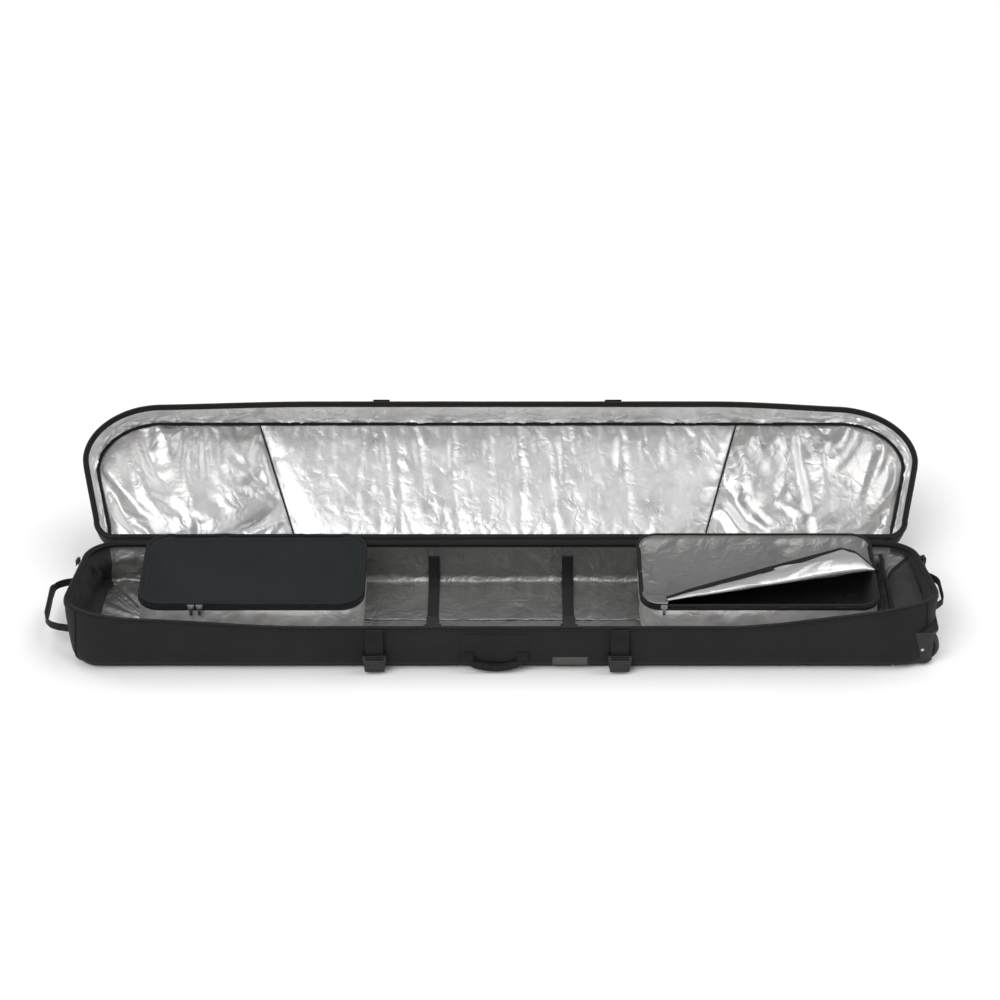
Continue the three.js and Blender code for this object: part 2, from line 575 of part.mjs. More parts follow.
// ---- tie-down straps on the floor ----
function buildTieStraps() {
  for (const [side, x] of Object.entries(TIE_STRAPS)) {
    const wall = -HALF_WIDTH + WALL;
    const half = [[wall + 2.2, 74], [wall + 4.5, 38], [wall + 14, 22], [-118, FLOOR_TOP + 1.6]];
    const line = [...half, ...half.map(([y, z]) => [-y, z]).reverse()];
    put(bag, `tie_strap_${side}`, ribbon(line, 1.4, "yz", x - 12.5, 25), "trim");
    const z = FLOOR_TOP + 2.7;
    let frame = block([x - 18, -64, z], [x + 18, -22, z + 3]);
    const ears = [-18, 15].map((dx) => block([x + dx, -50, z], [x + dx + 3, -36, z + 12]));
    frame = joined(frame, ...ears);
    frame = cut(frame, block([x - 14.8, -51, z - 1], [x + 14.8, -35, z + 4]));
    const slot = block([x - 13.5, -32, z - 1], [x + 13.5, -27, z + 8]);
    put(bag, `tie_buckle_frame_${side}`, cut(frame, slot), "plastic");
    const lever = [[-48, z + 4.4], [-38, z + 4.4], [-36, z + 9], [-8, z + 11], [-8, z + 14], [-46, z + 12.5]];
    put(bag, `tie_buckle_lever_${side}`, slab(lever, "yz", x - 14.4, 28.8), "plastic");
  }
}

// ---- pouches ----
// lean sets the front edge back.
function roundedPlan({ x0, x1, halfWidth }, inset, radius, lean = 0) {
  const r = Math.max(2, radius - inset);
  const corner = (cx, cy, start) =>
    steps(5, (t) => {
      const a = radians(start + t * 90 * (5 / 4));
      return [cx + r * Math.cos(a), cy + r * Math.sin(a)];
    });
  const [l, h, w] = [x0 + inset + r, x1 - inset - r, halfWidth - inset - r];
  const front = lean - w;
  return [...corner(l, front, 180), ...corner(h, front, 270), ...corner(h, w, 0), ...corner(l, w, 90)];
}

function pouchBody(pouch, depth, radius) {
  const level = (inset, z, lean = 0) =>
    roundedPlan(pouch, inset + depth, radius, lean).map(([x, y]) => [x, y, z]);
  const [floor, heel] = [level(24, pouch.z0 + depth), level(9, pouch.z0 + 7 + depth * 0.6)];
  const levels = [floor, heel, level(1, pouch.z0 + 26), level(0, pouch.z1, POUCH_LEAN)];
  if (depth) levels.push(level(0, pouch.z1 + 20, POUCH_LEAN));
  return loft(levels);
}

function pouchRim(pouch, radius, z0, z1, t0, t1) {
  const at = (t, z) => roundedPlan(pouch, t, radius, POUCH_LEAN).map(([x, y]) => [x, y, z]);
  return band(at(t0, z0), at(t0, z1), at(t1, z0), at(t1, z1));
}

const LEFT_RADIUS = 52;
const RIGHT_RADIUS = 44;
const POUCH_TOP = LEFT_POUCH.z1 + 5; // underside of the pouches' lids

function pouchSlider(group, name, x) {
  const y = POUCH_LEAN - LEFT_POUCH.halfWidth;
  const body = block([x - 7, y - 6.6, POUCH_TOP - 4.5], [x + 7, y - 1, POUCH_TOP + 4]);
  const pull = block([x - 3, y - 8, POUCH_TOP - 20], [x + 3, y - 6.2, POUCH_TOP]);
  put(group, name, body.add(pull), "steel");
}

function buildLeftPouch() {
  const p = LEFT_POUCH;
  const body = cut(pouchBody(p, 0, LEFT_RADIUS), pouchBody(p, POUCH_WALL, LEFT_RADIUS));
  put(bag, "left_pouch_body", body, "lining");
  put(bag, "left_pouch_binding", pouchRim(p, LEFT_RADIUS, p.z1 + GAP, POUCH_TOP - GAP, 0, 8), "trim");
  const top = (inset, z) => roundedPlan(p, inset, LEFT_RADIUS, POUCH_LEAN).map(([x, y]) => [x, y, z]);
  const lid = loft([top(0.5, POUCH_TOP), top(0.5, POUCH_TOP + 4), top(30, POUCH_TOP + 9)]);
  put(bag, "left_pouch_mesh_lid", lid, "mesh");
  pouchSlider(bag, "left_pouch_slider_a", -668);
  pouchSlider(bag, "left_pouch_slider_b", -650);
}

// The right pouch's top is in two: a fixed part, and a flap that folds back along a slanting line.
const FOLD = { a: [356, POUCH_LEAN - 136], b: [797, -4], z: POUCH_TOP + 5, open: -172 };

function buildRightPouch() {
  const p = RIGHT_POUCH;
  const body = cut(pouchBody(p, 0, RIGHT_RADIUS), pouchBody(p, POUCH_WALL, RIGHT_RADIUS));
  put(bag, "right_pouch_body", body, "lining");
  put(bag, "right_pouch_binding", pouchRim(p, RIGHT_RADIUS, p.z1 + GAP, POUCH_TOP - GAP, 0, 8), "trim");
  const level = (z) => roundedPlan(p, 0.5, RIGHT_RADIUS, POUCH_LEAN).map(([x, y]) => [x, y, z]);
  const whole = loft([level(POUCH_TOP), level(POUCH_TOP + 3)]);
  const [a, b] = [FOLD.a, FOLD.b];
  const length = Math.hypot(b[0] - a[0], b[1] - a[1]);
  const along = [(b[0] - a[0]) / length, (b[1] - a[1]) / length];
  const across = [along[1], -along[0]];
  const point = (s, d) => [a[0] + along[0] * s + across[0] * d, a[1] + along[1] * s + across[1] * d];
  const side = (d, width) =>
    slab([point(-60, d), point(700, d), point(700, d + width), point(-60, d + width)], "xy", 100, 100);
  put(bag, "right_pouch_top", cut(whole, side(-5, 400)), "lining");
  const flap = new THREE.Group();
  flap.position.set(a[0], a[1], FOLD.z);
  flap.quaternion.setFromAxisAngle(new THREE.Vector3(along[0], along[1], 0), radians(FOLD.open));
  const flat = whole.intersect(side(5, 400)).intersect(block([a[0] + 8, -300, 0], [1000, 300, 300]));
  const inner = new THREE.Group();
  inner.position.set(-a[0], -a[1], -FOLD.z);
  put(inner, "right_pouch_flap", flat, "lining");
  flap.add(inner);
  bag.add(flap);
  pouchSlider(bag, "right_pouch_slider", 352);
}

buildTray();
buildLid();
buildWheel("front_wheel", -1);
buildWheel("rear_wheel", 1);
buildStraps();
buildHandles();
buildSliders();
buildTieStraps();
buildLeftPouch();
buildRightPouch();

export default bag;
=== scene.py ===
"""Looks of an open, wheeled snowboard bag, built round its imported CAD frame. Metres, +Z up.

+X runs along the bag to the wheel end, +Y from the front wall to the lid's hinge. The lid's pieces are
shaped closed, where its rings are simple, and then swung open with the lid's rest angle.
"""
import math

import bpy
import bmesh
import numpy as np
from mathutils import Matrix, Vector, kdtree, noise


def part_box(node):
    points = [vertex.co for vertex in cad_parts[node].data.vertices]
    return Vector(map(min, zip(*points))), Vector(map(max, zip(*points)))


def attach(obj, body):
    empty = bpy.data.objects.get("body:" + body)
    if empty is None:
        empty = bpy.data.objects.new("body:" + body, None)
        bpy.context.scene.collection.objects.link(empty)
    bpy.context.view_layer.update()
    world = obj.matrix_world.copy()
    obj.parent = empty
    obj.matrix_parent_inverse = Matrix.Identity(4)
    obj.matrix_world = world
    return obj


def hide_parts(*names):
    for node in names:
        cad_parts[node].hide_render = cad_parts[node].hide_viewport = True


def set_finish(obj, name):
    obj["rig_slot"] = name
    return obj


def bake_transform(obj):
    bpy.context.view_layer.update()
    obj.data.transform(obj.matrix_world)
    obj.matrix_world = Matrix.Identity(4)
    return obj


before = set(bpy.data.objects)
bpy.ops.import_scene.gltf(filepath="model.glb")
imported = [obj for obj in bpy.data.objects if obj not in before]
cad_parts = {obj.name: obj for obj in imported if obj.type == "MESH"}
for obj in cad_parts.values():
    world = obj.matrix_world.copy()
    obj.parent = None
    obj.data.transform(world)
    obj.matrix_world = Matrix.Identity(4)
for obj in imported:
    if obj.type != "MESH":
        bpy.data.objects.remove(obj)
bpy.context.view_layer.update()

# ---- the bag's dimensions, as in its CAD model ----
HALF_WIDTH = 0.165
BASE_HEIGHT = 0.116
LID_TOP = 0.214
HANDLE_END_RISE = 0.022
WHEEL_END_RISE = 0.045
WALL = 0.0102
FLOOR_TOP = 0.0145
LID_OPEN = math.radians(143)
HINGE = (0.1675, 0.116)
# half length, front corner's radii along X and Y, slant and rear corner radius of each outline
PLAN = {
    "floor": (0.934, 0.060, 0.060, 0.014, 0.056),
    "rim": (0.950, 0.180, 0.095, 0.020, 0.078),
    "lid": (0.950, 0.172, 0.138, 0.034, 0.046),
}
COUNTS = (120, 44, 18, 30, 120)  # points on the front, front corner, end, rear corner and back of a half
BEND = COUNTS[0] + COUNTS[1]  # the outline point where the front corner meets the end
EASE_WIDTH = 7  # outline points either side of it that are made soft
EASE_PASSES = 9
SPINE = (0.77, 0.80)  # where the front straight and the end meet the middle line
SHOULDER = 0.62  # share of the parting height up to which the tray's wall flares most
FLARE_FOOT = 0.030  # height from which it flares
COVER_HALF = 0.152  # half width of the lining over the wheel housing
HOUSING = {"x": 0.856, "half": 0.149, "top": 0.090}
WHEEL = {"x": 0.914, "y": 0.125, "z": 0.043, "radius": 0.038, "width": 0.034, "rim": 0.026}
STRAPS = {"left": -0.273, "right": 0.257}  # x of the long straps
WEBBING = 0.038
WEB_THICK = 0.0016
TIE_X = 0.150  # of the tie-down straps, either side of the middle
SHELL_GAP = 0.0058  # from the shells' edges to the parting line
TAPE_STEP = 0.005  # between the rings of a strap or tape
BOX_PITCH = 0.0036  # stitch length where webbing and patches are sewn down
LINING_THICK = 0.0009
ZIP_STEP = 0.0024  # from tooth to tooth of a pouch's zip
SIDES = (("left", -1), ("right", 1))
ROWS = (("a", -1), ("b", 1))  # the two rows of stitches along a strap's edges
UP = np.array([0, 0, 1.0])
DOWN = -UP
FRONT = np.array([0, -1.0, 0])
RIGHT = np.array([1.0, 0, 0])
POUCH_TOP = 0.143
POUCH_ZIP = 0.1355  # height of the pouches' zips
POUCHES = {
    "left": {"x0": -0.787, "x1": -0.297, "half": 0.145, "z0": 0.0155, "z1": 0.138, "radius": 0.052},
    "right": {"x0": 0.303, "x1": 0.820, "half": 0.145, "z0": 0.0155, "z1": 0.138, "radius": 0.044},
}
POUCH_LEAN = 0.022  # how far the pouches' front leans back from foot to top
# the line that the right pouch's flap folds back over, from its left end to its right end
FOLD_A = np.array([0.356, POUCH_LEAN - 0.136])
FOLD_B = np.array([0.797, -0.004])

# ---- camera, light and floor ----
PHOTO = 1000  # pixels across the square picture
SENSOR = 36.0
SHIFT = -0.8  # sideways, in pixels
CAMERA = {"distance": 6.325, "tilt": math.radians(33.97), "focal": 2881.6, "aim": (0.0, 0.100, 0.268)}


def make_camera():
    data = bpy.data.cameras.new("camera")
    data.sensor_width = SENSOR
    data.lens = CAMERA["focal"] * SENSOR / PHOTO
    data.shift_x = SHIFT / PHOTO
    camera = bpy.data.objects.new("camera", data)
    tilt = CAMERA["tilt"]
    back = Vector((0, -math.cos(tilt), math.sin(tilt)))
    camera.location = Vector(CAMERA["aim"]) + back * CAMERA["distance"]
    camera.rotation_euler = (math.pi / 2 - tilt, 0, 0)
    bpy.context.scene.collection.objects.link(camera)
    bpy.context.scene.camera = camera


def area_light(name, location, target, size, energy):
    data = bpy.data.lights.new(name, "AREA")
    data.shape = "RECTANGLE"
    data.size, data.size_y = size
    data.energy = energy
    light = bpy.data.objects.new(name, data)
    light.location = location
    light.rotation_euler = (Vector(target) - Vector(location)).to_track_quat("-Z", "Y").to_euler()
    bpy.context.scene.collection.objects.link(light)


def sun_light(name, toward, strength, spread):
    data = bpy.data.lights.new(name, "SUN")
    data.energy = strength
    data.angle = math.radians(spread)
    light = bpy.data.objects.new(name, data)
    light.rotation_euler = Vector(toward).to_track_quat("Z", "Y").to_euler()
    bpy.context.scene.collection.objects.link(light)


def make_studio():
    sun_light("key", (-0.75, -1.0, 1.5), 1.32, 40)
    sun_light("fill", (0.9, 0.35, 1.6), 0.88, 50)
    area_light("left_strip", (-1.5, 0.9, 2.4), (-0.6, 0.3, 0.2), (0.5, 1.6), 7)
    area_light("right_strip", (1.9, -0.2, 2.3), (0.6, 0.3, 0.2), (0.4, 1.6), 6)
    world = bpy.data.worlds.new("studio")
    world.use_nodes = True
    tree = world.node_tree
    place = tree.nodes.new("ShaderNodeTexCoord").outputs["Generated"]
    patches = tree.nodes.new("ShaderNodeTexNoise")
    patches.inputs["Scale"].default_value = 2.6
    patches.inputs["Detail"].default_value = 1.0
    tree.links.new(place, patches.inputs["Vector"])
    shade = tree.nodes.new("ShaderNodeValToRGB")
    shade.color_ramp.elements[0].position = 0.36
    shade.color_ramp.elements[0].color = (0.24, 0.24, 0.25, 1)
    shade.color_ramp.elements[1].position = 0.62
    shade.color_ramp.elements[1].color = (0.92, 0.92, 0.93, 1)
    tree.links.new(patches.outputs["Fac"], shade.inputs["Fac"])
    background = tree.nodes["Background"]
    tree.links.new(shade.outputs["Color"], background.inputs["Color"])
    background.inputs["Strength"].default_value = 0.80
    bpy.context.scene.world = world
    bpy.context.scene.view_settings.view_transform = "Standard"


# ---- materials ----
WAVE_PERIOD = 2 * math.pi / 20  # length of one band of a wave texture at scale 1


def shader(name, color, roughness, metallic=0.0, sheen=0.0, specular=0.5):
    made = bpy.data.materials.new(name)
    made.use_nodes = True
    bsdf = made.node_tree.nodes["Principled BSDF"]
    bsdf.inputs["Base Color"].default_value = (*color, 1)
    bsdf.inputs["Roughness"].default_value = roughness
    bsdf.inputs["Metallic"].default_value = metallic
    bsdf.inputs["Sheen Weight"].default_value = sheen
    bsdf.inputs["Specular IOR Level"].default_value = specular
    return made, made.node_tree, bsdf


def add_node(tree, kind, settings=None, **inputs):
    made = tree.nodes.new(kind)
    for key, value in (settings or {}).items():
        setattr(made, key, value)
    for key, value in inputs.items():
        socket = made.inputs[key.replace("_", " ")]
        if isinstance(value, bpy.types.NodeSocket):
            tree.links.new(value, socket)
        else:
            socket.default_value = value
    return made


def coordinates(tree, kind="Object"):
    return tree.nodes.new("ShaderNodeTexCoord").outputs[kind]


def noise_of(tree, vector, scale, detail=4.0, rough=0.55):
    made = add_node(tree, "ShaderNodeTexNoise", Vector=vector, Scale=scale, Detail=detail, Roughness=rough)
    return made.outputs["Fac"]


def ramp(tree, factor, stops):
    made = add_node(tree, "ShaderNodeValToRGB", Fac=factor)
    elements = made.color_ramp.elements
    for element, (place, color) in zip(elements, (stops[0], stops[-1])):
        element.position = place
        element.color = (*color, 1)
    for place, color in stops[1:-1]:
        elements.new(place).color = (*color, 1)
    return made.outputs["Color"]


def ranged(tree, value, low, high, to_low, to_high):
    limits = {"From_Min": low, "From_Max": high, "To_Min": to_low, "To_Max": to_high}
    return add_node(tree, "ShaderNodeMapRange", Value=value, **limits).outputs["Result"]


def roughened(tree, bsdf, pattern, low, high, start=0.3):
    """Roughness that goes from low to high as a pattern goes from start to 0.7."""
    tree.links.new(ranged(tree, pattern, start, 0.7, low, high), bsdf.inputs["Roughness"])


def combined(tree, operation, a, b):
    made = tree.nodes.new("ShaderNodeMath")
    made.operation = operation
    for socket, value in zip(made.inputs, (a, b)):
        if isinstance(value, bpy.types.NodeSocket):
            tree.links.new(value, socket)
        else:
            socket.default_value = value
    return made.outputs[0]


def bumped(tree, bsdf, height, distance, strength=1.0, after=None):
    made = add_node(tree, "ShaderNodeBump", Height=height, Distance=distance, Strength=strength)
    if after is not None:
        tree.links.new(after, made.inputs["Normal"])
    tree.links.new(made.outputs["Normal"], bsdf.inputs["Normal"])
    return made.outputs["Normal"]


def bands(tree, vector, pitch, direction):
    settings = {"wave_type": "BANDS", "bands_direction": direction, "wave_profile": "SIN"}
    made = add_node(tree, "ShaderNodeTexWave", settings, Vector=vector, Scale=WAVE_PERIOD / pitch)
    return made.outputs["Fac"]


def weave(tree, pitch, ratio=1.0):
    """Height of a plain weave, from the piece's own cloth coordinates."""
    uv = coordinates(tree, "UV")
    across = bands(tree, uv, pitch, "X")
    along = bands(tree, uv, pitch * ratio, "Y")
    return combined(tree, "MULTIPLY", across, along)


def tinted(tree, bsdf, color, spread, scale, vector=None):
    """Base colour that drifts round one colour, as dye and dust do."""
    vector = coordinates(tree) if vector is None else vector
    low = tuple(c * (1 - spread) for c in color)
    high = tuple(min(1, c * (1 + spread)) for c in color)
    drift = ramp(tree, noise_of(tree, vector, scale), [(0.3, low), (0.7, high)])
    tree.links.new(drift, bsdf.inputs["Base Color"])


def cloth_material(name, color, pitch, depth, roughness=0.85, ratio=1.0):
    """Woven cloth: pitch is from thread to thread, depth the height of its weave."""
    made, tree, bsdf = shader(name, color, roughness, sheen=0.05, specular=0.2)
    bsdf.inputs["Sheen Roughness"].default_value = 0.5
    tinted(tree, bsdf, color, 0.18, 9)
    grain = noise_of(tree, coordinates(tree), 380, 2)
    roughened(tree, bsdf, grain, roughness - 0.08, roughness + 0.08)
    soft = bumped(tree, bsdf, noise_of(tree, coordinates(tree), 34, 5), 0.0008, 0.6)
    bumped(tree, bsdf, weave(tree, pitch, ratio), depth, 0.8, after=soft)
    return made


def distance_to_edge(tree, vector, scale):
    return add_node(tree, "ShaderNodeTexVoronoi", {"feature": "DISTANCE_TO_EDGE"}, Vector=vector, Scale=scale)


def foil_material(name, color, roughness, crease, metallic=0.82):
    """Metallised lining cloth: soft mirror, crushed into fine creases."""
    made, tree, bsdf = shader(name, color, roughness, metallic)
    place = coordinates(tree)
    tinted(tree, bsdf, color, 0.10, 5, place)
    cloudy = noise_of(tree, place, 16, 5)
    roughened(tree, bsdf, cloudy, roughness - 0.07, roughness + 0.10)
    bent = add_node(tree, "ShaderNodeTexNoise", Vector=place, Scale=14.0, Detail=3.0).outputs["Color"]
    warped = add_node(tree, "ShaderNodeMix", {"data_type": "VECTOR"})
    warped.inputs["Factor"].default_value = 0.10
    tree.links.new(place, warped.inputs[4])
    tree.links.new(bent, warped.inputs[5])
    cells = distance_to_edge(tree, warped.outputs[1], 30.0).outputs["Distance"]
    first = bumped(tree, bsdf, ranged(tree, cells, 0.0, 0.25, 0.0, 1.0), 0.0011 * crease, 0.5)
    fine = noise_of(tree, place, 120, 3, 0.5)
    bumped(tree, bsdf, fine, 0.0010 * crease, 0.55, after=first)
    return made


def plastic_material(name, color, roughness=0.42):
    made, tree, bsdf = shader(name, color, roughness)
    place = coordinates(tree)
    tinted(tree, bsdf, color, 0.15, 14, place)
    worn = noise_of(tree, place, 40, 6, 0.65)
    roughened(tree, bsdf, worn, roughness - 0.08, roughness + 0.16, 0.35)
    bumped(tree, bsdf, noise_of(tree, place, 900, 2), 0.00025, 0.5)
    return made


def metal_material(name, color, roughness):
    made, tree, bsdf = shader(name, color, roughness, 0.95)
    place = coordinates(tree)
    tinted(tree, bsdf, color, 0.12, 60, place)
    scratched = noise_of(tree, place, 300, 4)
    roughened(tree, bsdf, scratched, roughness - 0.08, roughness + 0.12)
    bumped(tree, bsdf, scratched, 0.0001, 0.3)
    return made


def mesh_material(name):
    """Fine black netting: the holes of the net read as darker dots."""
    made, tree, bsdf = shader(name, (0.010, 0.012, 0.012), 0.72, specular=0.12)
    uv = coordinates(tree, "UV")
    net = distance_to_edge(tree, uv, 620.0)
    net.inputs["Randomness"].default_value = 0.15
    threads = net.outputs["Distance"]
    stops = [(0.0, (0.020, 0.024, 0.025)), (0.35, (0.011, 0.014, 0.015)), (0.6, (0.005, 0.006, 0.006))]
    tree.links.new(ramp(tree, threads, stops), bsdf.inputs["Base Color"])
    dusty = noise_of(tree, coordinates(tree), 7, 3)
    roughened(tree, bsdf, dusty, 0.5, 0.78)
    bumped(tree, bsdf, threads, 0.0004, 0.7)
    return made


MATERIALS = {
    "shell_cloth": cloth_material("shell_cloth", (0.0150, 0.0140, 0.0142), 0.0012, 0.00022),
    "bottom_cloth": cloth_material("bottom_cloth", (0.012, 0.012, 0.012), 0.0016, 0.0003, roughness=0.6),
    "charcoal": cloth_material("charcoal_lining", (0.026, 0.026, 0.027), 0.0010, 0.00015, roughness=0.6),
    "dark_inside": cloth_material("dark_inside", (0.035, 0.035, 0.037), 0.0010, 0.00015, roughness=0.7),
    "webbing": cloth_material("webbing", (0.010, 0.010, 0.011), 0.0022, 0.0005, roughness=0.7, ratio=0.6),
    "binding": cloth_material("binding", (0.009, 0.009, 0.0095), 0.0011, 0.0003, roughness=0.75, ratio=2.4),
    "thread": cloth_material("thread", (0.014, 0.014, 0.015), 0.0004, 0.0001, roughness=0.6),
    "patch": cloth_material("patch", (0.085, 0.084, 0.080), 0.0009, 0.0002, roughness=0.8),
    "hidden_foam": cloth_material("hidden_foam", (0.25, 0.25, 0.24), 0.002, 0.0002),
    "foil_soft": foil_material("silver_foil_soft", (0.58, 0.575, 0.57), 0.33, 0.5),
    # painted shade: the lid's end panels take a darker copy of the same foil
    "foil_end_painted_shade": foil_material("silver_foil_end", (0.47, 0.465, 0.46), 0.33, 0.6),
    # painted light: the pouches' sides take a lighter, less metallic copy of the same foil, brightened
    # against the shade they lie in
    "foil_side_painted_light": foil_material("silver_foil_side", (0.62, 0.61, 0.60), 0.36, 0.8, metallic=0.6),
    # painted light: the lid's gusset takes a much lighter, less metallic copy of the same foil
    "foil_gusset_painted_light": foil_material("silver_foil_gusset", (0.93, 0.92, 0.905), 0.38, 1.6, metallic=0.55),
    # painted shade: a darker copy of the same silver lining foil, for lining that lies in shade
    "foil_painted_shade": foil_material("silver_foil_shaded", (0.235, 0.235, 0.23), 0.36, 1.0),
    "plastic": plastic_material("moulded_black", (0.007, 0.007, 0.0075), 0.5),
    "coil": plastic_material("zip_coil", (0.011, 0.011, 0.012), 0.35),
    "tyre": plastic_material("tyre", (0.020, 0.020, 0.021), 0.62),
    "steel": metal_material("zinc_steel", (0.55, 0.55, 0.54), 0.34),
    "slider": metal_material("slider_metal", (0.30, 0.30, 0.305), 0.32),
    "gunmetal": metal_material("gunmetal", (0.050, 0.050, 0.052), 0.40),
    "mesh": mesh_material("mesh_cloth"),
}
SLOTS = {
    "shell_cloth": ("shell_cloth", "bottom_cloth", "charcoal"),
    "silver_lining": ("dark_inside", "foil_soft", "foil_end_painted_shade", "foil_side_painted_light", "foil_gusset_painted_light", "foil_painted_shade"),
    "webbing": ("webbing",),
    "binding": ("binding", "thread"),
    "patch": ("patch",),
    "moulded_black": ("plastic",),
    "zip": ("coil",),
    "tyre": ("tyre",),
    "steel": ("steel",),
    "slider_metal": ("slider", "gunmetal"),
    "mesh_cloth": ("mesh",),
    "foam": ("hidden_foam",),
}
SLOT_OF = {look: slot for slot, looks in SLOTS.items() for look in looks}


# ---- mesh building ----
def make_piece(name, points, faces, look, body=None, uv=None, looks=None, face_look=None, round_shaded=True):
    """A mesh from points and faces. uv is one (u, v) in metres for each point."""
    mesh = bpy.data.meshes.new(name)
    corners = [list(map(int, face)) for face in faces]
    mesh.from_pydata(np.asarray(points, float).reshape(-1, 3).tolist(), [], corners)
    for key in looks or [look]:
        mesh.materials.append(MATERIALS[key])
    if face_look is not None:
        mesh.polygons.foreach_set("material_index", np.asarray(face_look, np.int32))
    mesh.polygons.foreach_set("use_smooth", [round_shaded] * len(mesh.polygons))
    if uv is not None:
        layer = mesh.uv_layers.new(name="UVMap")
        index = np.zeros(len(mesh.loops), np.int32)
        mesh.loops.foreach_get("vertex_index", index)
        layer.data.foreach_set("uv", np.asarray(uv, np.float32).reshape(-1, 2)[index].ravel())
    mesh.update()
    made = bpy.data.objects.new(name, mesh)
    bpy.context.scene.collection.objects.link(made)
    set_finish(made, SLOT_OF[look])
    if body:
        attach(made, body)
    return made


def merged(piece, distance=1e-5, closed=False):
    b = bmesh.new()
    b.from_mesh(piece.data)
    bmesh.ops.remove_doubles(b, verts=b.verts, dist=distance)
    if closed:
        bmesh.ops.recalc_face_normals(b, faces=b.faces)
    b.to_mesh(piece.data)
    b.free()


def solidified(piece, thickness, offset=-1.0, body=None):
    """Thickness for an open sheet: offset -1 puts it behind the faces, 1 in front."""
    made = piece.modifiers.new("thickness", "SOLIDIFY")
    made.thickness = thickness
    made.offset = offset
    made.use_even_offset = False
    if body:
        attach(piece, body)


def ring_faces(rings, n, closed=True):
    r = np.arange(rings - 1)[:, None]
    i = np.arange(n if closed else n - 1)[None, :]
    j = (i + 1) % n
    return np.stack([r * n + i, r * n + j, (r + 1) * n + j, (r + 1) * n + i], -1).reshape(-1, 4)


def closing_faces(rings, n):
    """The faces that join the last ring to the first."""
    last = (rings - 1) * n
    return [[last + i, last + (i + 1) % n, (i + 1) % n, i] for i in range(n)]


def arc_lengths(points):
    steps = np.linalg.norm(np.diff(points, axis=0), axis=1)
    return np.concatenate([[0], np.cumsum(steps)])


def grid_uv(u, v):
    """Cloth coordinates of a grid, with u along its rows and v from row to row."""
    return np.stack(np.broadcast_arrays(u[None, :], v[:, None]), -1)


def ring_uv(rings):
    """Cloth coordinates of stacked rings: length round the middle one, and mean step from ring to ring."""
    v = np.concatenate([[0], np.cumsum(np.linalg.norm(np.diff(rings, axis=0), axis=2).mean(1))])
    return grid_uv(arc_lengths(rings[len(rings) // 2]), v)


def unit(v):
    v = np.asarray(v, float)
    return v / np.maximum(np.linalg.norm(v, axis=-1, keepdims=True), 1e-12)


def surface_normals(rings):
    round_it = np.roll(rings, -1, axis=1) - np.roll(rings, 1, axis=1)
    up = np.gradient(rings, axis=0)
    return unit(np.cross(round_it, up))


def through(nodes, s):
    """Smooth curve through equally spaced nodes, at shares s. nodes is (k, ...)."""
    nodes = np.asarray(nodes, float)
    k = len(nodes)
    at = np.asarray(s) * (k - 1)
    i = np.clip(at.astype(int), 0, k - 2)
    t = (at - i).reshape(-1, *[1] * (nodes.ndim - 1))
    p0, p1 = nodes[np.maximum(i - 1, 0)], nodes[i]
    p2, p3 = nodes[i + 1], nodes[np.minimum(i + 2, k - 1)]
    a = -0.5 * p0 + 1.5 * p1 - 1.5 * p2 + 0.5 * p3
    b = p0 - 2.5 * p1 + 2 * p2 - 0.5 * p3
    return ((a * t + b) * t + 0.5 * (p2 - p0)) * t + p1


def smooth(v):
    v = np.clip(v, 0, 1)
    return v * v * (3 - 2 * v)


def spaced(points, step, closed=False, *fields):
    """Points along a line at equal steps, with any vector fields given at the same places."""
    points = np.asarray(points, float)
    if closed:
        points = np.concatenate([points, points[:1]])
        fields = [np.concatenate([f, f[:1]]) for f in fields]
    along = arc_lengths(points)
    count = max(2, int(round(along[-1] / step)) + 1)
    at = np.linspace(0, along[-1], count)
    if closed:
        at = at[:-1]
    picked = []
    for f in (points, *fields):
        picked.append(np.stack([np.interp(at, along, f[:, k]) for k in range(f.shape[1])], 1))
    return picked


def tangents(points, closed=False):
    if closed:
        t = np.roll(points, -1, axis=0) - np.roll(points, 1, axis=0)
    else:
        t = np.gradient(points, axis=0)
    return unit(t)


def alike(vector, points):
    """One vector for each point."""
    return np.broadcast_to(np.asarray(vector, float), points.shape)


def circle(radius, n=8):
    a = np.arange(n) / n * 2 * math.pi
    return np.stack([radius * np.cos(a), radius * np.sin(a)], 1)


def rounded_box(width, thick, n=5):
    """Section of a strap or pad: a flat bar with round edges."""
    r = thick / 2
    a = np.linspace(-math.pi / 2, math.pi / 2, n)
    right = np.stack([width / 2 - r + r * np.cos(a), r * np.sin(a)], 1)
    flat = np.linspace(width / 2 - r, -width / 2 + r, 6)[1:-1]
    top = np.stack([flat, np.full(len(flat), r)], 1)
    return np.concatenate([right, top, -right, -top])


def sweep(name, centre, side, up, section, look, body=None, closed=False, scale=None):
    """A section carried along a line: (a, b) in the section goes to centre + a side + b up."""
    centre, side, up = (np.asarray(x, float) for x in (centre, side, up))
    k, m = len(centre), len(section)
    grown = np.ones((k, 2)) if scale is None else np.asarray(scale, float)
    a = section[None, :, 0] * grown[:, :1]
    b = section[None, :, 1] * grown[:, 1:]
    points = centre[:, None] + a[..., None] * side[:, None] + b[..., None] * up[:, None]
    faces = ring_faces(k, m).tolist()
    if closed:
        faces += closing_faces(k, m)
    else:
        faces += [list(range(m))[::-1], list(range((k - 1) * m, k * m))]
    made = make_piece(name, points, faces, look, uv=grid_uv(arc_lengths(section), arc_lengths(centre)))
    merged(made, 1e-7, closed=True)
    if body:
        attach(made, body)
    return made


def strap(name, path, across, width, thick, look, body):
    """Flat webbing along a path; across is the direction of its width."""
    points = spaced(path, TAPE_STEP)[0]
    side = alike(unit(across), points)
    up = unit(np.cross(tangents(points), side))
    return sweep(name, points, side, up, rounded_box(width, thick), look, body)


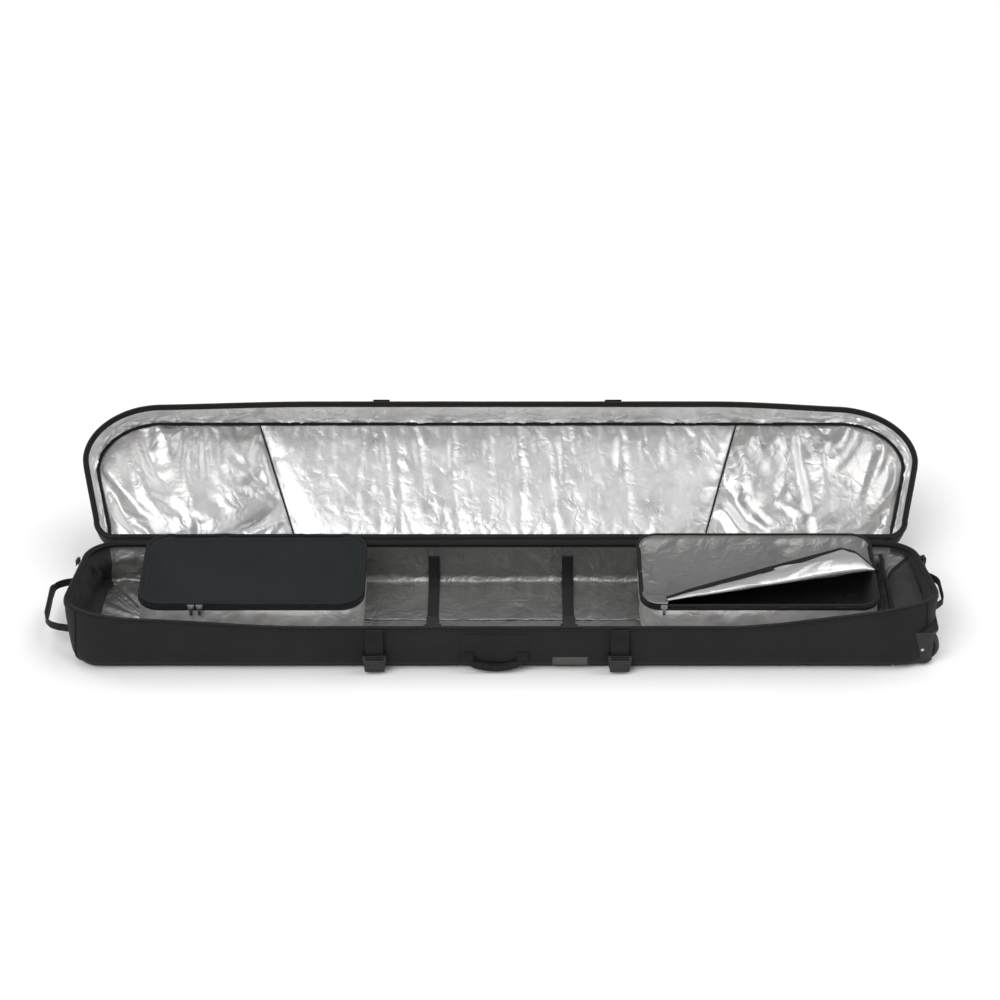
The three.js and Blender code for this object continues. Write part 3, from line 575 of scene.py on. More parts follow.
def scattered(name, places, forward, side, up, template, faces, look, body=None):
    """Many copies of one small shape, such as stitches or zip teeth, in one mesh."""
    places = np.asarray(places, float)
    m = len(template)
    points = (
        places[:, None]
        + template[None, :, :1] * forward[:, None]
        + template[None, :, 1:2] * side[:, None]
        + template[None, :, 2:] * up[:, None]
    )
    all_faces = [[i * m + v for v in f] for i in range(len(places)) for f in faces]
    uv = np.broadcast_to(template[None, :, :2], (len(places), m, 2))
    return make_piece(name, points, all_faces, look, body, uv=uv)


def spindle(length, radius, bow=0.0, n=6):
    """A short thread, pointed at both ends, along its first axis; bow lifts its middle."""
    a = np.arange(n) / n * 2 * math.pi
    points = []
    for x in (-0.34, 0.34):
        points += [(x * length, radius * math.cos(t), radius * math.sin(t) + bow) for t in a]
    points += [(-0.5 * length, 0, 0), (0.5 * length, 0, 0)]
    faces = [[i, (i + 1) % n, n + (i + 1) % n, n + i] for i in range(n)]
    faces += [[(i + 1) % n, i, 2 * n] for i in range(n)]
    faces += [[n + i, n + (i + 1) % n, 2 * n + 1] for i in range(n)]
    return np.array(points), faces


def stitches(name, path, up, body=None, closed=False, pitch=0.0045, look="thread"):
    """A row of thread along a path; up is the cloth's outward direction, one for each point or for all."""
    path = np.asarray(path, float)
    places, out = spaced(path, pitch, closed, alike(up, path))
    forward = tangents(places, closed)
    out = unit(out)
    template, faces = spindle(pitch * 0.72, 0.00038, 0.00018)
    return scattered(name, places, forward, unit(np.cross(out, forward)), out, template, faces, look, body)


# ---- creases and folds ----
def field(points, scale, seed=0.0, octaves=3):
    """Soft noise from -1 to 1 at each point."""
    shift = Vector((seed * 7.31, seed * 3.17, seed * 5.23))
    flat = np.asarray(points, float).reshape(-1, 3) * scale
    values = [noise.fractal(Vector(p) + shift, 1.0, 2.0, octaves) for p in flat]
    return np.array(values).reshape(np.asarray(points).shape[:-1])


def along_and_across(dx, dy, angle):
    c, s = math.cos(angle), math.sin(angle)
    return dx * c + dy * s, dy * c - dx * s


def creased(x, y, count, seed, box, length, width, height, angles):
    """Height of many single folds, each a soft ridge with one sharp side, over a flat region."""
    r = np.random.default_rng(seed)
    total = np.zeros_like(x)
    for _ in range(count):
        cx, cy = r.uniform(box[0], box[1]), r.uniform(box[2], box[3])
        angle = math.radians(r.uniform(*angles))
        reach = length * r.uniform(0.5, 1.5)
        thin = width * r.uniform(0.5, 1.4)
        rise = height * r.uniform(0.3, 1.0) * r.choice([-1, 1, 1])
        bend = r.uniform(-2.5, 2.5)
        along, across = along_and_across(x - cx, y - cy, angle)
        across = across + bend * along**2
        fade = np.exp(-((along / reach) ** 2))
        steep = np.where(across > 0, across / (thin * 0.45), -across / (thin * 1.5))
        total += rise * fade * np.exp(-steep)
    return total


def settle(rows, loose, slack, gravity, bend, frames=24):
    """Cloth worked out by simulation: `rows` is a grid of points whose edge is sewn down, `loose` says how
    freely each point moves, and the cloth is `slack` longer than its place."""
    scene = bpy.context.scene
    r, c = rows.shape[:2]
    mesh = bpy.data.meshes.new("settling")
    mesh.from_pydata(rows.reshape(-1, 3).tolist(), [], ring_faces(r, c, closed=False).tolist())
    cloth = bpy.data.objects.new("settling", mesh)
    scene.collection.objects.link(cloth)
    held = cloth.vertex_groups.new(name="held")
    for i, free in enumerate(np.asarray(loose, float).ravel()):
        if free < 1:
            held.add([i], 1 - float(free), "REPLACE")
    made = cloth.modifiers.new("cloth", "CLOTH")
    made.settings.quality = 5
    made.settings.mass = 0.12
    made.settings.tension_stiffness = made.settings.compression_stiffness = 18
    made.settings.shear_stiffness = 6
    made.settings.bending_stiffness = bend
    made.settings.air_damping = 4
    made.settings.vertex_group_mass = "held"
    made.settings.shrink_min = -slack
    made.collision_settings.use_collision = False
    made.point_cache.frame_start = 1
    made.point_cache.frame_end = frames
    usual = scene.gravity.copy()
    scene.gravity = gravity
    for frame_number in range(1, frames + 1):
        scene.frame_set(frame_number)
    settled = cloth.evaluated_get(bpy.context.evaluated_depsgraph_get()).data
    flat = np.empty(len(settled.vertices) * 3)
    settled.vertices.foreach_get("co", flat)
    bpy.data.objects.remove(cloth)
    bpy.data.meshes.remove(mesh)
    scene.gravity = usual
    scene.frame_set(1)
    settled = flat.reshape(rows.shape)
    for _ in range(2):
        inner = settled[1:-1, 1:-1]
        around = settled[:-2, 1:-1] + settled[2:, 1:-1] + settled[1:-1, :-2] + settled[1:-1, 2:]
        settled[1:-1, 1:-1] = inner + (around / 4 - inner) * 0.6
    return settled


def edge_distance(rows):
    """Distance from each grid point to the grid's edge, by cell counts times the local step."""
    r, c = rows.shape[:2]
    across = np.minimum(np.arange(c), c - 1 - np.arange(c))[None, :]
    down = np.minimum(np.arange(r), r - 1 - np.arange(r))[:, None]
    wide = np.linalg.norm(rows[:, -1] - rows[:, 0], axis=1)[:, None] / (c - 1)
    tall = np.linalg.norm(rows[-1] - rows[0], axis=1)[None, :] / (r - 1)
    return np.minimum(across * wide, down * tall)


def laid_on(points, surface, lift):
    """Points moved up or down to lie `lift` over a surface."""
    near = kdtree.KDTree(surface[..., 0].size)
    flat = surface.reshape(-1, 3)
    for i, p in enumerate(flat):
        near.insert((p[0], p[1], 0), i)
    near.balance()
    laid = np.array(points, float)
    for p in laid:
        found = near.find_n((p[0], p[1], 0), 4)
        weights = np.array([1 / (d + 1e-5) for _, _, d in found])
        p[2] = sum(w * flat[i][2] for w, (_, i, _) in zip(weights, found)) / weights.sum() + lift
    return laid


def between(left, right, columns):
    """A grid of points whose rows run from each point of one side to the matching point of the other."""
    t = np.linspace(0, 1, columns)[None, :, None]
    return left[:, None] + (right - left)[:, None] * t


# ---- outlines ----
def shares(n):
    """n equal steps from 0, short of 1."""
    return np.arange(n) / n


def half_outline(plan):
    """The right half of an outline, from the front's middle round to just before the back's."""
    half, rx, ry, slant, rear = PLAN[plan]
    front_n, corner_n, end_n, rear_n, back_n = COUNTS
    t = shares(front_n)
    front = np.stack([t * (half - rx), np.full(front_n, -HALF_WIDTH)], 1)
    a = np.radians(-90 + 90 * shares(corner_n))
    corner = np.stack([half - rx + rx * np.cos(a), -HALF_WIDTH + ry + ry * np.sin(a)], 1)
    t = shares(end_n)
    end = np.stack([half - slant * t, -HALF_WIDTH + ry + t * (2 * HALF_WIDTH - rear - ry)], 1)
    a = np.radians(90 * shares(rear_n))
    turn = np.stack([half - slant - rear + rear * np.cos(a), HALF_WIDTH - rear + rear * np.sin(a)], 1)
    t = shares(back_n)
    back = np.stack([(half - slant - rear) * (1 - t), np.full(back_n, HALF_WIDTH)], 1)
    return np.concatenate([front, corner, end, turn, back])


def whole(right):
    left = right[1:] * [-1, 1]
    return np.concatenate([right, [[0, HALF_WIDTH]], left[::-1]])


def eased(line):
    """The outline with the corner between its front curve and its slanting end made soft."""
    i = np.arange(len(line))
    near = np.exp(-(((i - BEND) / EASE_WIDTH) ** 2)) + np.exp(-(((i - len(line) + BEND) / EASE_WIDTH) ** 2))
    for _ in range(EASE_PASSES):
        middle = (np.roll(line, 1, axis=0) + np.roll(line, -1, axis=0)) / 2
        line = line + (middle - line) * 0.5 * near[:, None]
    return line


FLOOR_LINE = eased(whole(half_outline("floor")))
RIM_LINE = eased(whole(half_outline("rim")))
LID_LINE = eased(whole(half_outline("lid")))
N = len(RIM_LINE)
HALF_N = N // 2
CORNER_START = COUNTS[0]
BACK_START = HALF_N - COUNTS[4]


def mirrored(column):
    """The outline point across the bag from another."""
    return (N - column) % N


def spine_points():
    """For each outline point, the point of the middle line that it is gathered to."""
    i = np.arange(N)
    near = np.minimum(i % HALF_N, HALF_N - i % HALF_N)
    x = np.interp(near, [0, CORNER_START, HALF_N / 2], [0, *SPINE])
    return np.stack([np.where(i <= HALF_N, x, -x), np.zeros(N)], 1)


SPINE_LINE = spine_points()


def inward(line):
    t = np.roll(line, -1, axis=0) - np.roll(line, 1, axis=0)
    return unit(np.stack([-t[:, 1], t[:, 0]], 1))


def inset(line, distance):
    return line + inward(line) * distance


def rim_height(x, y):
    rise = np.where(
        x < 0, HANDLE_END_RISE * smooth((-x - 0.42) / 0.43), WHEEL_END_RISE * smooth((x - 0.48) / 0.43)
    )
    return BASE_HEIGHT + rise * (HALF_WIDTH - y) / (2 * HALF_WIDTH)


def heights(line):
    return rim_height(line[:, 0], line[:, 1])


RIM_HEIGHTS = heights(RIM_LINE)
LID_HEIGHTS = heights(LID_LINE)


def with_z(line, z):
    return np.concatenate([line, np.broadcast_to(np.asarray(z, float), (len(line),))[:, None]], 1)


def outward(line):
    return with_z(-inward(line), 0.0)


def raised(rows, z):
    """A flat grid of (x, y) points given one height."""
    return np.concatenate([rows, np.full(rows.shape[:2] + (1,), float(z))], 2)


def extruded(x, profile, base=0.0):
    """A profile of (y, z) points carried along X, as a grid."""
    return np.stack([np.stack([x, np.full_like(x, y), np.full_like(x, base + z)], 1) for y, z in profile])


def lower_share(z, h):
    """Share of the way from the floor's outline to the rim's that the wall flares under its shoulder."""
    return 0.45 * np.clip((z - FLARE_FOOT) / (SHOULDER * h - FLARE_FOOT), 0, 1)


def tray_rings(insets, lows, top, s):
    """Rings of the tray's wall. insets and lows describe its profile: insets at equal steps up the wall, and
    the heights of all but the last two, which are at the shoulder and `top` under the parting line."""
    h = RIM_HEIGHTS
    z = through(np.stack([*[np.full(N, v) for v in lows], SHOULDER * h, h - top]), s)
    step_in = through(insets, s)
    share = np.where(
        z < SHOULDER * h,
        np.interp(z, [0.010, FLARE_FOOT], [0.0, 0.15]) + lower_share(z, h),
        0.6 + 0.4 * (z - SHOULDER * h) / ((1 - SHOULDER) * h),
    )
    rings = []
    for level in range(len(s)):
        line = FLOOR_LINE + (RIM_LINE - FLOOR_LINE) * share[level][:, None]
        rings.append(with_z(inset(line, step_in[level]), z[level]))
    return np.stack(rings)


def lid_rings(insets, drops, start, s):
    """Rings of the closed lid from `start` over the parting line; drops are measured from the lid's top."""
    h = LID_HEIGHTS
    z = through(np.stack([h + start, (h + LID_TOP) / 2, *[np.full(N, LID_TOP - d) for d in drops]]), s)
    step_in = through(insets, s)
    return np.stack([with_z(inset(LID_LINE, by), height) for by, height in zip(step_in, z)])


def to_spine(ring, shares):
    """Rings that carry on from a ring across a flat panel to the middle line."""
    target = with_z(SPINE_LINE, ring[:, 2])
    return np.stack([ring + (target - ring) * t for t in shares])


def opened(points, hinge=HINGE):
    """Where points of the closed lid are at rest, with the lid swung open."""
    points = np.array(points, float)
    y, z = points[..., 1] - hinge[0], points[..., 2] - hinge[1]
    c, s = math.cos(-LID_OPEN), math.sin(-LID_OPEN)
    points[..., 1] = hinge[0] + y * c - z * s
    points[..., 2] = hinge[1] + y * s + z * c
    return points


def turned_open(vectors):
    return opened(vectors, (0.0, 0.0))


# ---- the tray ----
OUTER_INSETS = (0.034, 0.0150, 0.0045, 0.0012, 0.0, 0.0)
OUTER_LOWS = (0.0008, 0.0052, 0.0175, 0.0360)
INNER_INSETS = (0.034, 0.0215, 0.0140, 0.0118, 0.0110, 0.0110)
INNER_LOWS = (FLOOR_TOP, 0.0175, 0.0290, 0.0440)


def in_housing(points, grow):
    x, y, z = points[:, 0], points[:, 1], points[:, 2]
    return (x > HOUSING["x"] - grow) & (abs(y) < HOUSING["half"] + grow) & (z < HOUSING["top"] + grow)


def without_housing(points, faces, grow=-0.004):
    """Faces that don't lie in the wheel housing's space."""
    flat = points.reshape(-1, 3)
    middle = flat[faces].mean(1)
    return faces[~in_housing(middle, grow)]


def make_tray_shell():
    wall = tray_rings(OUTER_INSETS, OUTER_LOWS, SHELL_GAP, np.linspace(0, 1, 26))
    soft = field(wall, 5.0, 1) * 0.0012 + field(wall * [1, 1, 2], 17, 2) * 0.0005
    sag = 0.0016 * np.sin(np.linspace(0, math.pi, len(wall)))[:, None]
    keep = smooth((RIM_HEIGHTS - wall[..., 2]) / 0.02) * smooth((wall[..., 2] - 0.004) / 0.02)
    seam = np.zeros(wall.shape[:2])
    for x in (-0.086, 0.062):
        seam -= 0.0012 * np.exp(-(((wall[..., 0] - x) / 0.0025) ** 2)) * (wall[..., 1] < -0.1)
    wall = wall + surface_normals(wall) * ((soft + sag) * keep + seam)[..., None]
    under = to_spine(wall[0], np.linspace(0.12, 1, 7))[::-1]
    under[:, :, 2] = 0.0007
    rings = np.concatenate([under, wall])
    faces = without_housing(rings, ring_faces(len(rings), N))
    on_bottom = faces[:, 0] // N <= len(under)
    piece = make_piece("tray_shell", rings, faces, "shell_cloth", uv=ring_uv(rings),
                       looks=["shell_cloth", "bottom_cloth"], face_look=on_bottom)
    merged(piece)
    solidified(piece, 0.0062, body="tray")
    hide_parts("base_outer_shell", "base_foam", "bottom_panel")
    return wall


def make_piping(wall):
    """Corded seams down the tray's four corners and along the edge of its floor."""
    normals = surface_normals(wall)
    columns = {"front": CORNER_START + COUNTS[1] * 56 // 90, "rear": BEND + COUNTS[2] + COUNTS[3] // 2}
    for name, sign in (("wheel_end", 1), ("handle_end", -1)):
        for part, column in columns.items():
            column = column if sign > 0 else mirrored(column)
            line = wall[4:, column] + normals[4:, column] * 0.0006
            if sign > 0:
                line = line[~in_housing(line, 0.001)]
            points = spaced(line, 0.006)[0]
            up = unit(np.cross(tangents(points), UP) + [1e-6, 0, 0])
            side_way = unit(np.cross(tangents(points), up))
            sweep(f"piping_{name}_{part}", points, side_way, up, circle(0.0022), "binding", "tray")
    hem = spaced(wall[5] + normals[5] * 0.0004, 0.008, True)[0]
    hem = hem[~in_housing(hem, 0.002)]
    start = int(np.argmax(np.linalg.norm(np.diff(hem, axis=0), axis=1))) + 1
    hem = np.roll(hem, -start, axis=0)
    out = unit(np.cross(tangents(hem), UP))
    up = unit(np.cross(out, tangents(hem)))
    sweep("piping_floor_edge", hem, out, up, circle(0.0019), "binding", "tray")


def binding_section(depth_out, depth_in):
    """Folded tape over an edge, as (inset, height) points: down its outer face from leg to leg, then back."""
    lap, thick, shoulder = 0.0009, 0.0011, -0.0050
    a, b = -lap, WALL + lap + 0.0006
    outer = [(a, -depth_out), (a, shoulder), (a + 0.0008, -0.0034), (a + 0.0030, -0.0028),
             (b - 0.0030, -0.0028), (b - 0.0008, -0.0034), (b, shoulder), (b, -depth_in)]
    inner = []
    for x, z in outer[::-1]:
        toward_middle = thick if x < WALL / 2 else -thick
        inner.append((x + toward_middle, z - (thick if z > shoulder else 0)))
    return np.array(outer + inner)


def rim_sweep(line, z, section, up_sign, wave):
    """A section of (inset, height) carried round a rim, which ripples by `wave`."""
    away = inward(line)
    ripple = np.array([noise.noise(Vector((p[0] * 22, p[1] * 22, 3))) for p in line]) * wave
    points = []
    for a, b in section:
        ring = line + away * (a + ripple[:, None] * (1 if a > 0.005 else -1))
        points.append(with_z(ring, z + up_sign * (b + ripple)))
    points = np.stack(points)
    if up_sign < 0:
        points = points[::-1]
    faces = ring_faces(len(points), N).tolist() + closing_faces(len(points), N)
    return points, faces, grid_uv(arc_lengths(line), arc_lengths(section))


def make_rim(prefix, line, z, up_sign, depth, place, turn, nodes):
    """The binding, its stitches, the zip tape and the coil of the tray (up_sign 1) or the lid (-1)."""
    points, faces, uv = rim_sweep(line, z, binding_section(depth + 0.0015, depth), up_sign, 0.0004)
    piece = make_piece(f"{prefix}_rim_binding", place(points), faces, "binding", prefix, uv=uv)
    merged(piece, 1e-7, closed=True)
    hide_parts(nodes[0])
    out = outward(line)
    rows = (("outer", depth, -0.0011, 1), ("inner", depth - 0.0015, WALL + 0.0018, -1))
    for side, drop, inset_by, sign in rows:
        path = with_z(inset(line, inset_by), z - up_sign * drop)
        stitches(f"{prefix}_binding_stitches_{side}", place(path), turn(out * sign), prefix, closed=True)
    tape = [(0.0004, -0.0031), (0.0004, -0.0022), (0.0075, -0.0022), (0.0075, -0.0031)]
    points, faces, uv = rim_sweep(line, z, tape, up_sign, 0.0)
    make_piece(f"{prefix}_zip_tape", place(points), faces, "binding", prefix, uv=uv)
    zipped = line[:, 1] < HALF_WIDTH - 0.0005
    coil_line = with_z(inset(line, 0.0022), z - up_sign * 0.0016)
    order = np.roll(np.arange(N), -int(np.argmin(zipped[:HALF_N])))
    order = order[zipped[order]]
    places, away = spaced(coil_line[order], 0.0026, False, out[order])
    template, tooth_faces = spindle(0.0052, 0.00075)
    piece = scattered(f"{prefix}_zip_coil_teeth", place(places), turn(unit(away)), turn(tangents(places)),
                      turn(alike(UP * up_sign, places)), template, tooth_faces, "coil", prefix)
    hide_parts(nodes[1])


# outline points from the front corner's start and the rear corner's end to the dark lining of the tray's ends
END_LINING_START = 24
END_LINING_STOP = 6


def make_tray_lining():
    wall = tray_rings(INNER_INSETS, INNER_LOWS, 0.0075, np.linspace(0, 1, 24))
    x = wall[..., 0]
    at_end = smooth((abs(x) - 0.72) / 0.12)
    hold = smooth((RIM_HEIGHTS - wall[..., 2] - 0.008) / 0.03)
    puff = abs(field(wall * [1, 1, 1.3], 16, 5)) * 0.010 * at_end + abs(field(wall, 26, 6)) * 0.0026
    puff += 0.012 * at_end * np.exp(-(((wall[..., 2] - 0.07) / 0.03) ** 2)) * (abs(wall[..., 1]) > 0.1)
    wall = wall - surface_normals(wall) * (puff * hold)[..., None]
    floor = to_spine(wall[0], np.linspace(1, 0.04, 26))
    floor[..., 2] += abs(field(floor, 13, 8)) * 0.0016 + creased(
        floor[..., 0], floor[..., 1], 90, 4, (-0.93, 0.93, -0.15, 0.15), 0.05, 0.006, 0.0016, (20, 160))
    rings = np.concatenate([floor, wall])
    faces = without_housing(rings, ring_faces(len(rings), N), -0.002)
    place = faces[:, 0] % N
    place = np.minimum(place, N - place)
    at_end = (place > CORNER_START + END_LINING_START) & (place < BACK_START - END_LINING_STOP)
    dark = at_end & (faces[:, 0] // N >= len(floor) - 1)
    # the tray's lining takes the darker foil copy, with shade painted into its colour
    piece = make_piece("tray_lining", rings, faces, "foil_painted_shade", uv=ring_uv(rings),
                       looks=["foil_painted_shade", "charcoal"], face_look=dark)
    merged(piece)
    solidified(piece, 0.0010, 1.0, body="tray")
    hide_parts("base_lining")


def inner_end(y, z):
    """How far along X the tray's inside reaches at a width and height."""
    h = rim_height(np.full_like(y, 0.93), y)
    share = 0.15 + lower_share(z, h)
    reach = []
    for yy, s in zip(y, np.broadcast_to(share, y.shape)):
        line = inset(FLOOR_LINE + (RIM_LINE - FLOOR_LINE) * s, 0.0125)
        half = line[CORNER_START - 4:BACK_START + 6]
        order = np.argsort(half[:, 1])
        reach.append(np.interp(yy, half[order, 1], half[order, 0]))
    return np.array(reach)


def laid_tape(name, line, width, thick):
    """Binding that lies flat along a line in the tray, with its points and their up directions."""
    points = spaced(line, TAPE_STEP)[0]
    side = unit(np.cross(tangents(points), UP))
    up = unit(np.cross(side, tangents(points)))
    sweep(name, points, side, up, rounded_box(width, thick), "binding", "tray")
    return points, up


def make_wheel_cover():
    """The lined hump over the wheel housing inside the tray, with a bound edge."""
    y = np.linspace(-COVER_HALF, COVER_HALF, 90)
    profile = through([(0.838, 0.0155), (0.846, 0.030), (0.850, 0.062), (0.853, 0.086), (0.866, 0.0945),
                       (0.900, 0.0955), (0.932, 0.0955)], np.linspace(0, 1, 44))
    rows = []
    for x, z in profile:
        end = inner_end(y, np.full_like(y, z)) - 0.0006
        stretch = np.interp(x, [0.866, 0.932], [0, 1])
        reach = x + stretch * (end - 0.932)
        rows.append(np.stack([np.minimum(reach, end), y, np.full_like(y, z)], 1))
    rows = np.stack(rows)
    box = (0.85, 1.03, -0.15, 0.15)
    fold = creased(rows[..., 0] + rows[..., 2], rows[..., 1], 60, 9, box, 0.03, 0.006, 0.0030, (-40, 60))
    lift = 0.0015 + abs(field(rows, 22, 12)) * 0.004 + fold
    edge = smooth((COVER_HALF - abs(rows[..., 1])) / 0.02)
    rows[..., 2] += np.clip(lift, 0, 0.008) * edge * smooth((rows[..., 2] - 0.05) / 0.03)
    rows[..., 0] -= np.clip(lift, 0, 0.008) * edge * smooth((0.09 - rows[..., 2]) / 0.03)
    faces = ring_faces(len(rows), len(y), closed=False)
    uv = grid_uv(y, arc_lengths(rows[:, len(y) // 2]))
    # the wheel cover takes the darker foil copy, with shade painted into its colour
    piece = make_piece("wheel_cover_lining", rows, faces, "foil_painted_shade", uv=uv)
    merged(piece, 1e-6)
    solidified(piece, LINING_THICK, body="tray")
    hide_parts("wheel_well_cover")
    laid_tape("wheel_cover_binding", rows[22] + [-0.001, 0, 0.0012], 0.011, 0.0030)
    return rows


def make_end_pocket(cover):
    """A flat pocket over the wheel cover: a dark panel with an arched, bound mouth."""
    y = np.linspace(-0.112, 0.146, 60)
    mouth = 0.8535 + 0.070 * smooth((y - 0.01) / 0.145) ** 1.4
    end = np.interp(y, cover[-1, :, 1], cover[-1, :, 0]) - 0.002
    rows = raised(between(np.stack([mouth, y], 1), np.stack([end, y], 1), 24), 0)
    rows = laid_on(rows.reshape(-1, 3), cover[24:], 0.0030).reshape(rows.shape)
    rows[..., 2] += smooth(edge_distance(rows) / 0.02) * (0.002 + 0.003 * field(rows, 16, 91))
    piece = make_piece("end_pocket", rows, ring_faces(*rows.shape[:2], closed=False)[:, ::-1], "charcoal",
                       uv=rows[..., :2])
    solidified(piece, 0.0010, 1.0, body="tray")
    points, up = laid_tape("end_pocket_binding", rows[:, 0] + [0, 0, 0.0008], 0.0085, 0.0032)
    stitches("end_pocket_stitches", points + up * 0.0017, up, "tray")


def make_hinge():
    """The cloth that joins the tray's back to the lid's back, folded over the hinge line."""
    reach = PLAN["lid"][0] - PLAN["lid"][3] - PLAN["lid"][4] - 0.008
    down = [(0.0014, -0.046), (0.0012, -0.030), (0.0008, -0.014), (0.0003, -0.0055)]
    base = np.array([(HINGE[0] + a, HINGE[1] + b) for a, b in down])
    mirrored = np.array([(HINGE[0] + a, HINGE[1] - b) for a, b in down[::-1]])
    swung = opened(np.stack([np.zeros(4), mirrored[:, 0], mirrored[:, 1]], 1))[:, 1:]
    crest = np.array(HINGE) + [(0.0008, -0.0015), (0.0022, -0.0010), (0.0040, -0.0020)]
    profile = np.concatenate([base, crest, swung])
    x = np.linspace(-reach, reach, 300)
    faces = ring_faces(len(profile), len(x), closed=False)
    uv = grid_uv(x, arc_lengths(profile))
    piece = make_piece("hinge_cloth", extruded(x, profile), faces, "shell_cloth", uv=uv)
    solidified(piece, 0.0012, 0.0)
    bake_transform(piece)
    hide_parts("hinge_panel")


# ---- the lid ----
LID_OUTER_INSETS = (0.0, 0.0, 0.0012, 0.0060, 0.0180, 0.0330)
LID_OUTER_DROPS = (0.0230, 0.0090, 0.0018, 0.0004)
LID_INNER_INSETS = (0.0110, 0.0112, 0.0125, 0.0160, 0.0215, 0.0260)
LID_INNER_DROPS = (0.0300, 0.0190, 0.0130, 0.0118)
SEAMS = {"left": (-0.564, -0.459), "right": (0.550, 0.455)}  # x of a panel seam at the front and at the hinge


def lid_sweep(name, points, out, lift, section):
    """Piping or tape round the lid's ring of points, lifted along their out directions."""
    side = unit(np.cross(tangents(points, True), out))
    return sweep(name, opened(points + out * lift), turned_open(side), turned_open(out), section, "binding",
                 "lid", closed=True)


def make_lid_shell():
    wall = lid_rings(LID_OUTER_INSETS, LID_OUTER_DROPS, SHELL_GAP, np.linspace(0, 1, 28))
    top = to_spine(wall[-1], np.linspace(0.04, 1, 26))
    rings = np.concatenate([wall, top])
    soft = field(rings, 4.0, 21) * 0.0016 + field(rings, 15, 22) * 0.0006
    keep = smooth((rings[..., 2] - LID_HEIGHTS - 0.004) / 0.03)
    rings = rings - surface_normals(rings) * (abs(soft) * keep)[..., None]
    faces = ring_faces(len(rings), N)
    piece = make_piece("lid_shell", opened(rings), faces, "shell_cloth", uv=ring_uv(rings))
    merged(piece)
    solidified(piece, 0.0060, body="lid")
    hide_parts("lid_outer_shell", "lid_foam")
    points, out = spaced(wall[17], 0.007, True, with_z(-inward(LID_LINE), 0.4))
    lid_sweep("lid_piping", points, unit(out), 0.0008, circle(0.0021))
    return wall


PANEL_Z = LID_TOP - LID_INNER_DROPS[-1]
PANEL_HALF = HALF_WIDTH - LID_INNER_INSETS[-1] - 0.0002
# columns, slack, stiffness, deepest fold and look of an end panel and of the centre one; the end panels' look
# is a darker copy of the same foil, with shade painted in
PANELS = ((84, 0.035, 0.5, 0.024, "foil_end_painted_shade"), (220, 0.012, 0.15, 0.012, "foil_soft"))


def seam_x(name, y):
    """X of the slanting seam between two panels of the lid's lining, at each Y."""
    front, back = SEAMS[name]
    return front + (back - front) * (y + HALF_WIDTH) / (2 * HALF_WIDTH)


def lid_panel_folds(x, y, part):
    """Depth of the folds in a panel of the lid's lining, by where they are on the closed lid."""
    if part == "centre":
        box = (-0.52, 0.52, -0.15, 0.15)
        total = creased(x, y, 120, 31, box, 0.035, 0.0055, 0.0030, (35, 75))
        return total + creased(x, y, 80, 32, box, 0.028, 0.0045, 0.0020, (-80, 20))
    side = -1 if part == "left" else 1
    box = (0.50, 0.93, -0.15, 0.15) if side > 0 else (-0.93, -0.50, -0.15, 0.15)
    lean = (95, 160) if side > 0 else (20, 85)
    total = creased(x, y, 30, 33 + side, box, 0.085, 0.018, 0.0120, lean)
    # folds that fan out from one point near the hinge
    middle = (side * 0.70, 0.09)
    r = np.random.default_rng(50 + side)
    for _ in range(9):
        angle = math.radians(r.uniform(185, 355))
        along, across = along_and_across(x - middle[0], y - middle[1], angle)
        wide = 0.008 + 0.10 * np.clip(along, 0, None)
        ridge = r.uniform(0.006, 0.013) * np.exp(-((across / wide) ** 2))
        total += ridge * smooth(along / 0.03) * np.exp(-along / 0.12)
    return total + creased(x, y, 70, 36 + side, box, 0.030, 0.006, 0.0030, (-90, 90))


def make_lid_panel(ring, part):
    """One of the three panels of the lid's lining, sewn down along its edges and slack between them."""
    columns, slack, bend, limit, look = PANELS[part == "centre"]
    y = PANEL_HALF * np.sin(np.linspace(-math.pi / 2, math.pi / 2, 64))
    corner = ring[CORNER_START:BACK_START + 1]
    order = np.argsort(corner[:, 1])
    reach = np.interp(y, corner[order, 1], corner[order, 0])
    borders = [-reach, seam_x("left", y), seam_x("right", y), reach]
    first = ("left", "centre", "right").index(part)
    left, right = borders[first], borders[first + 1]
    rows = raised(between(np.stack([left, y], 1), np.stack([right, y], 1), columns), PANEL_Z)
    edge = edge_distance(rows)
    hold = smooth(edge / 0.020)
    rows[..., 2] -= np.clip(lid_panel_folds(rows[..., 0], rows[..., 1], part) + 0.0015, -0.0004, 0.02) * hold
    settled = settle(rows, smooth(edge / 0.006), slack, (0, 4.0, -0.8), bend)
    depth = PANEL_Z - settled[..., 2]
    settled[..., 2] = PANEL_Z - limit * np.tanh(np.clip(depth, -0.0004, None) / limit)
    settled[..., 2] -= (0.0008 + 0.0009 * field(settled, 30, 45)) * hold
    piece = make_piece(f"lid_panel_{part}", opened(settled), ring_faces(*rows.shape[:2], closed=False), look,
                       uv=rows[..., :2])
    solidified(piece, LINING_THICK, 1.0, body="lid")
    return piece


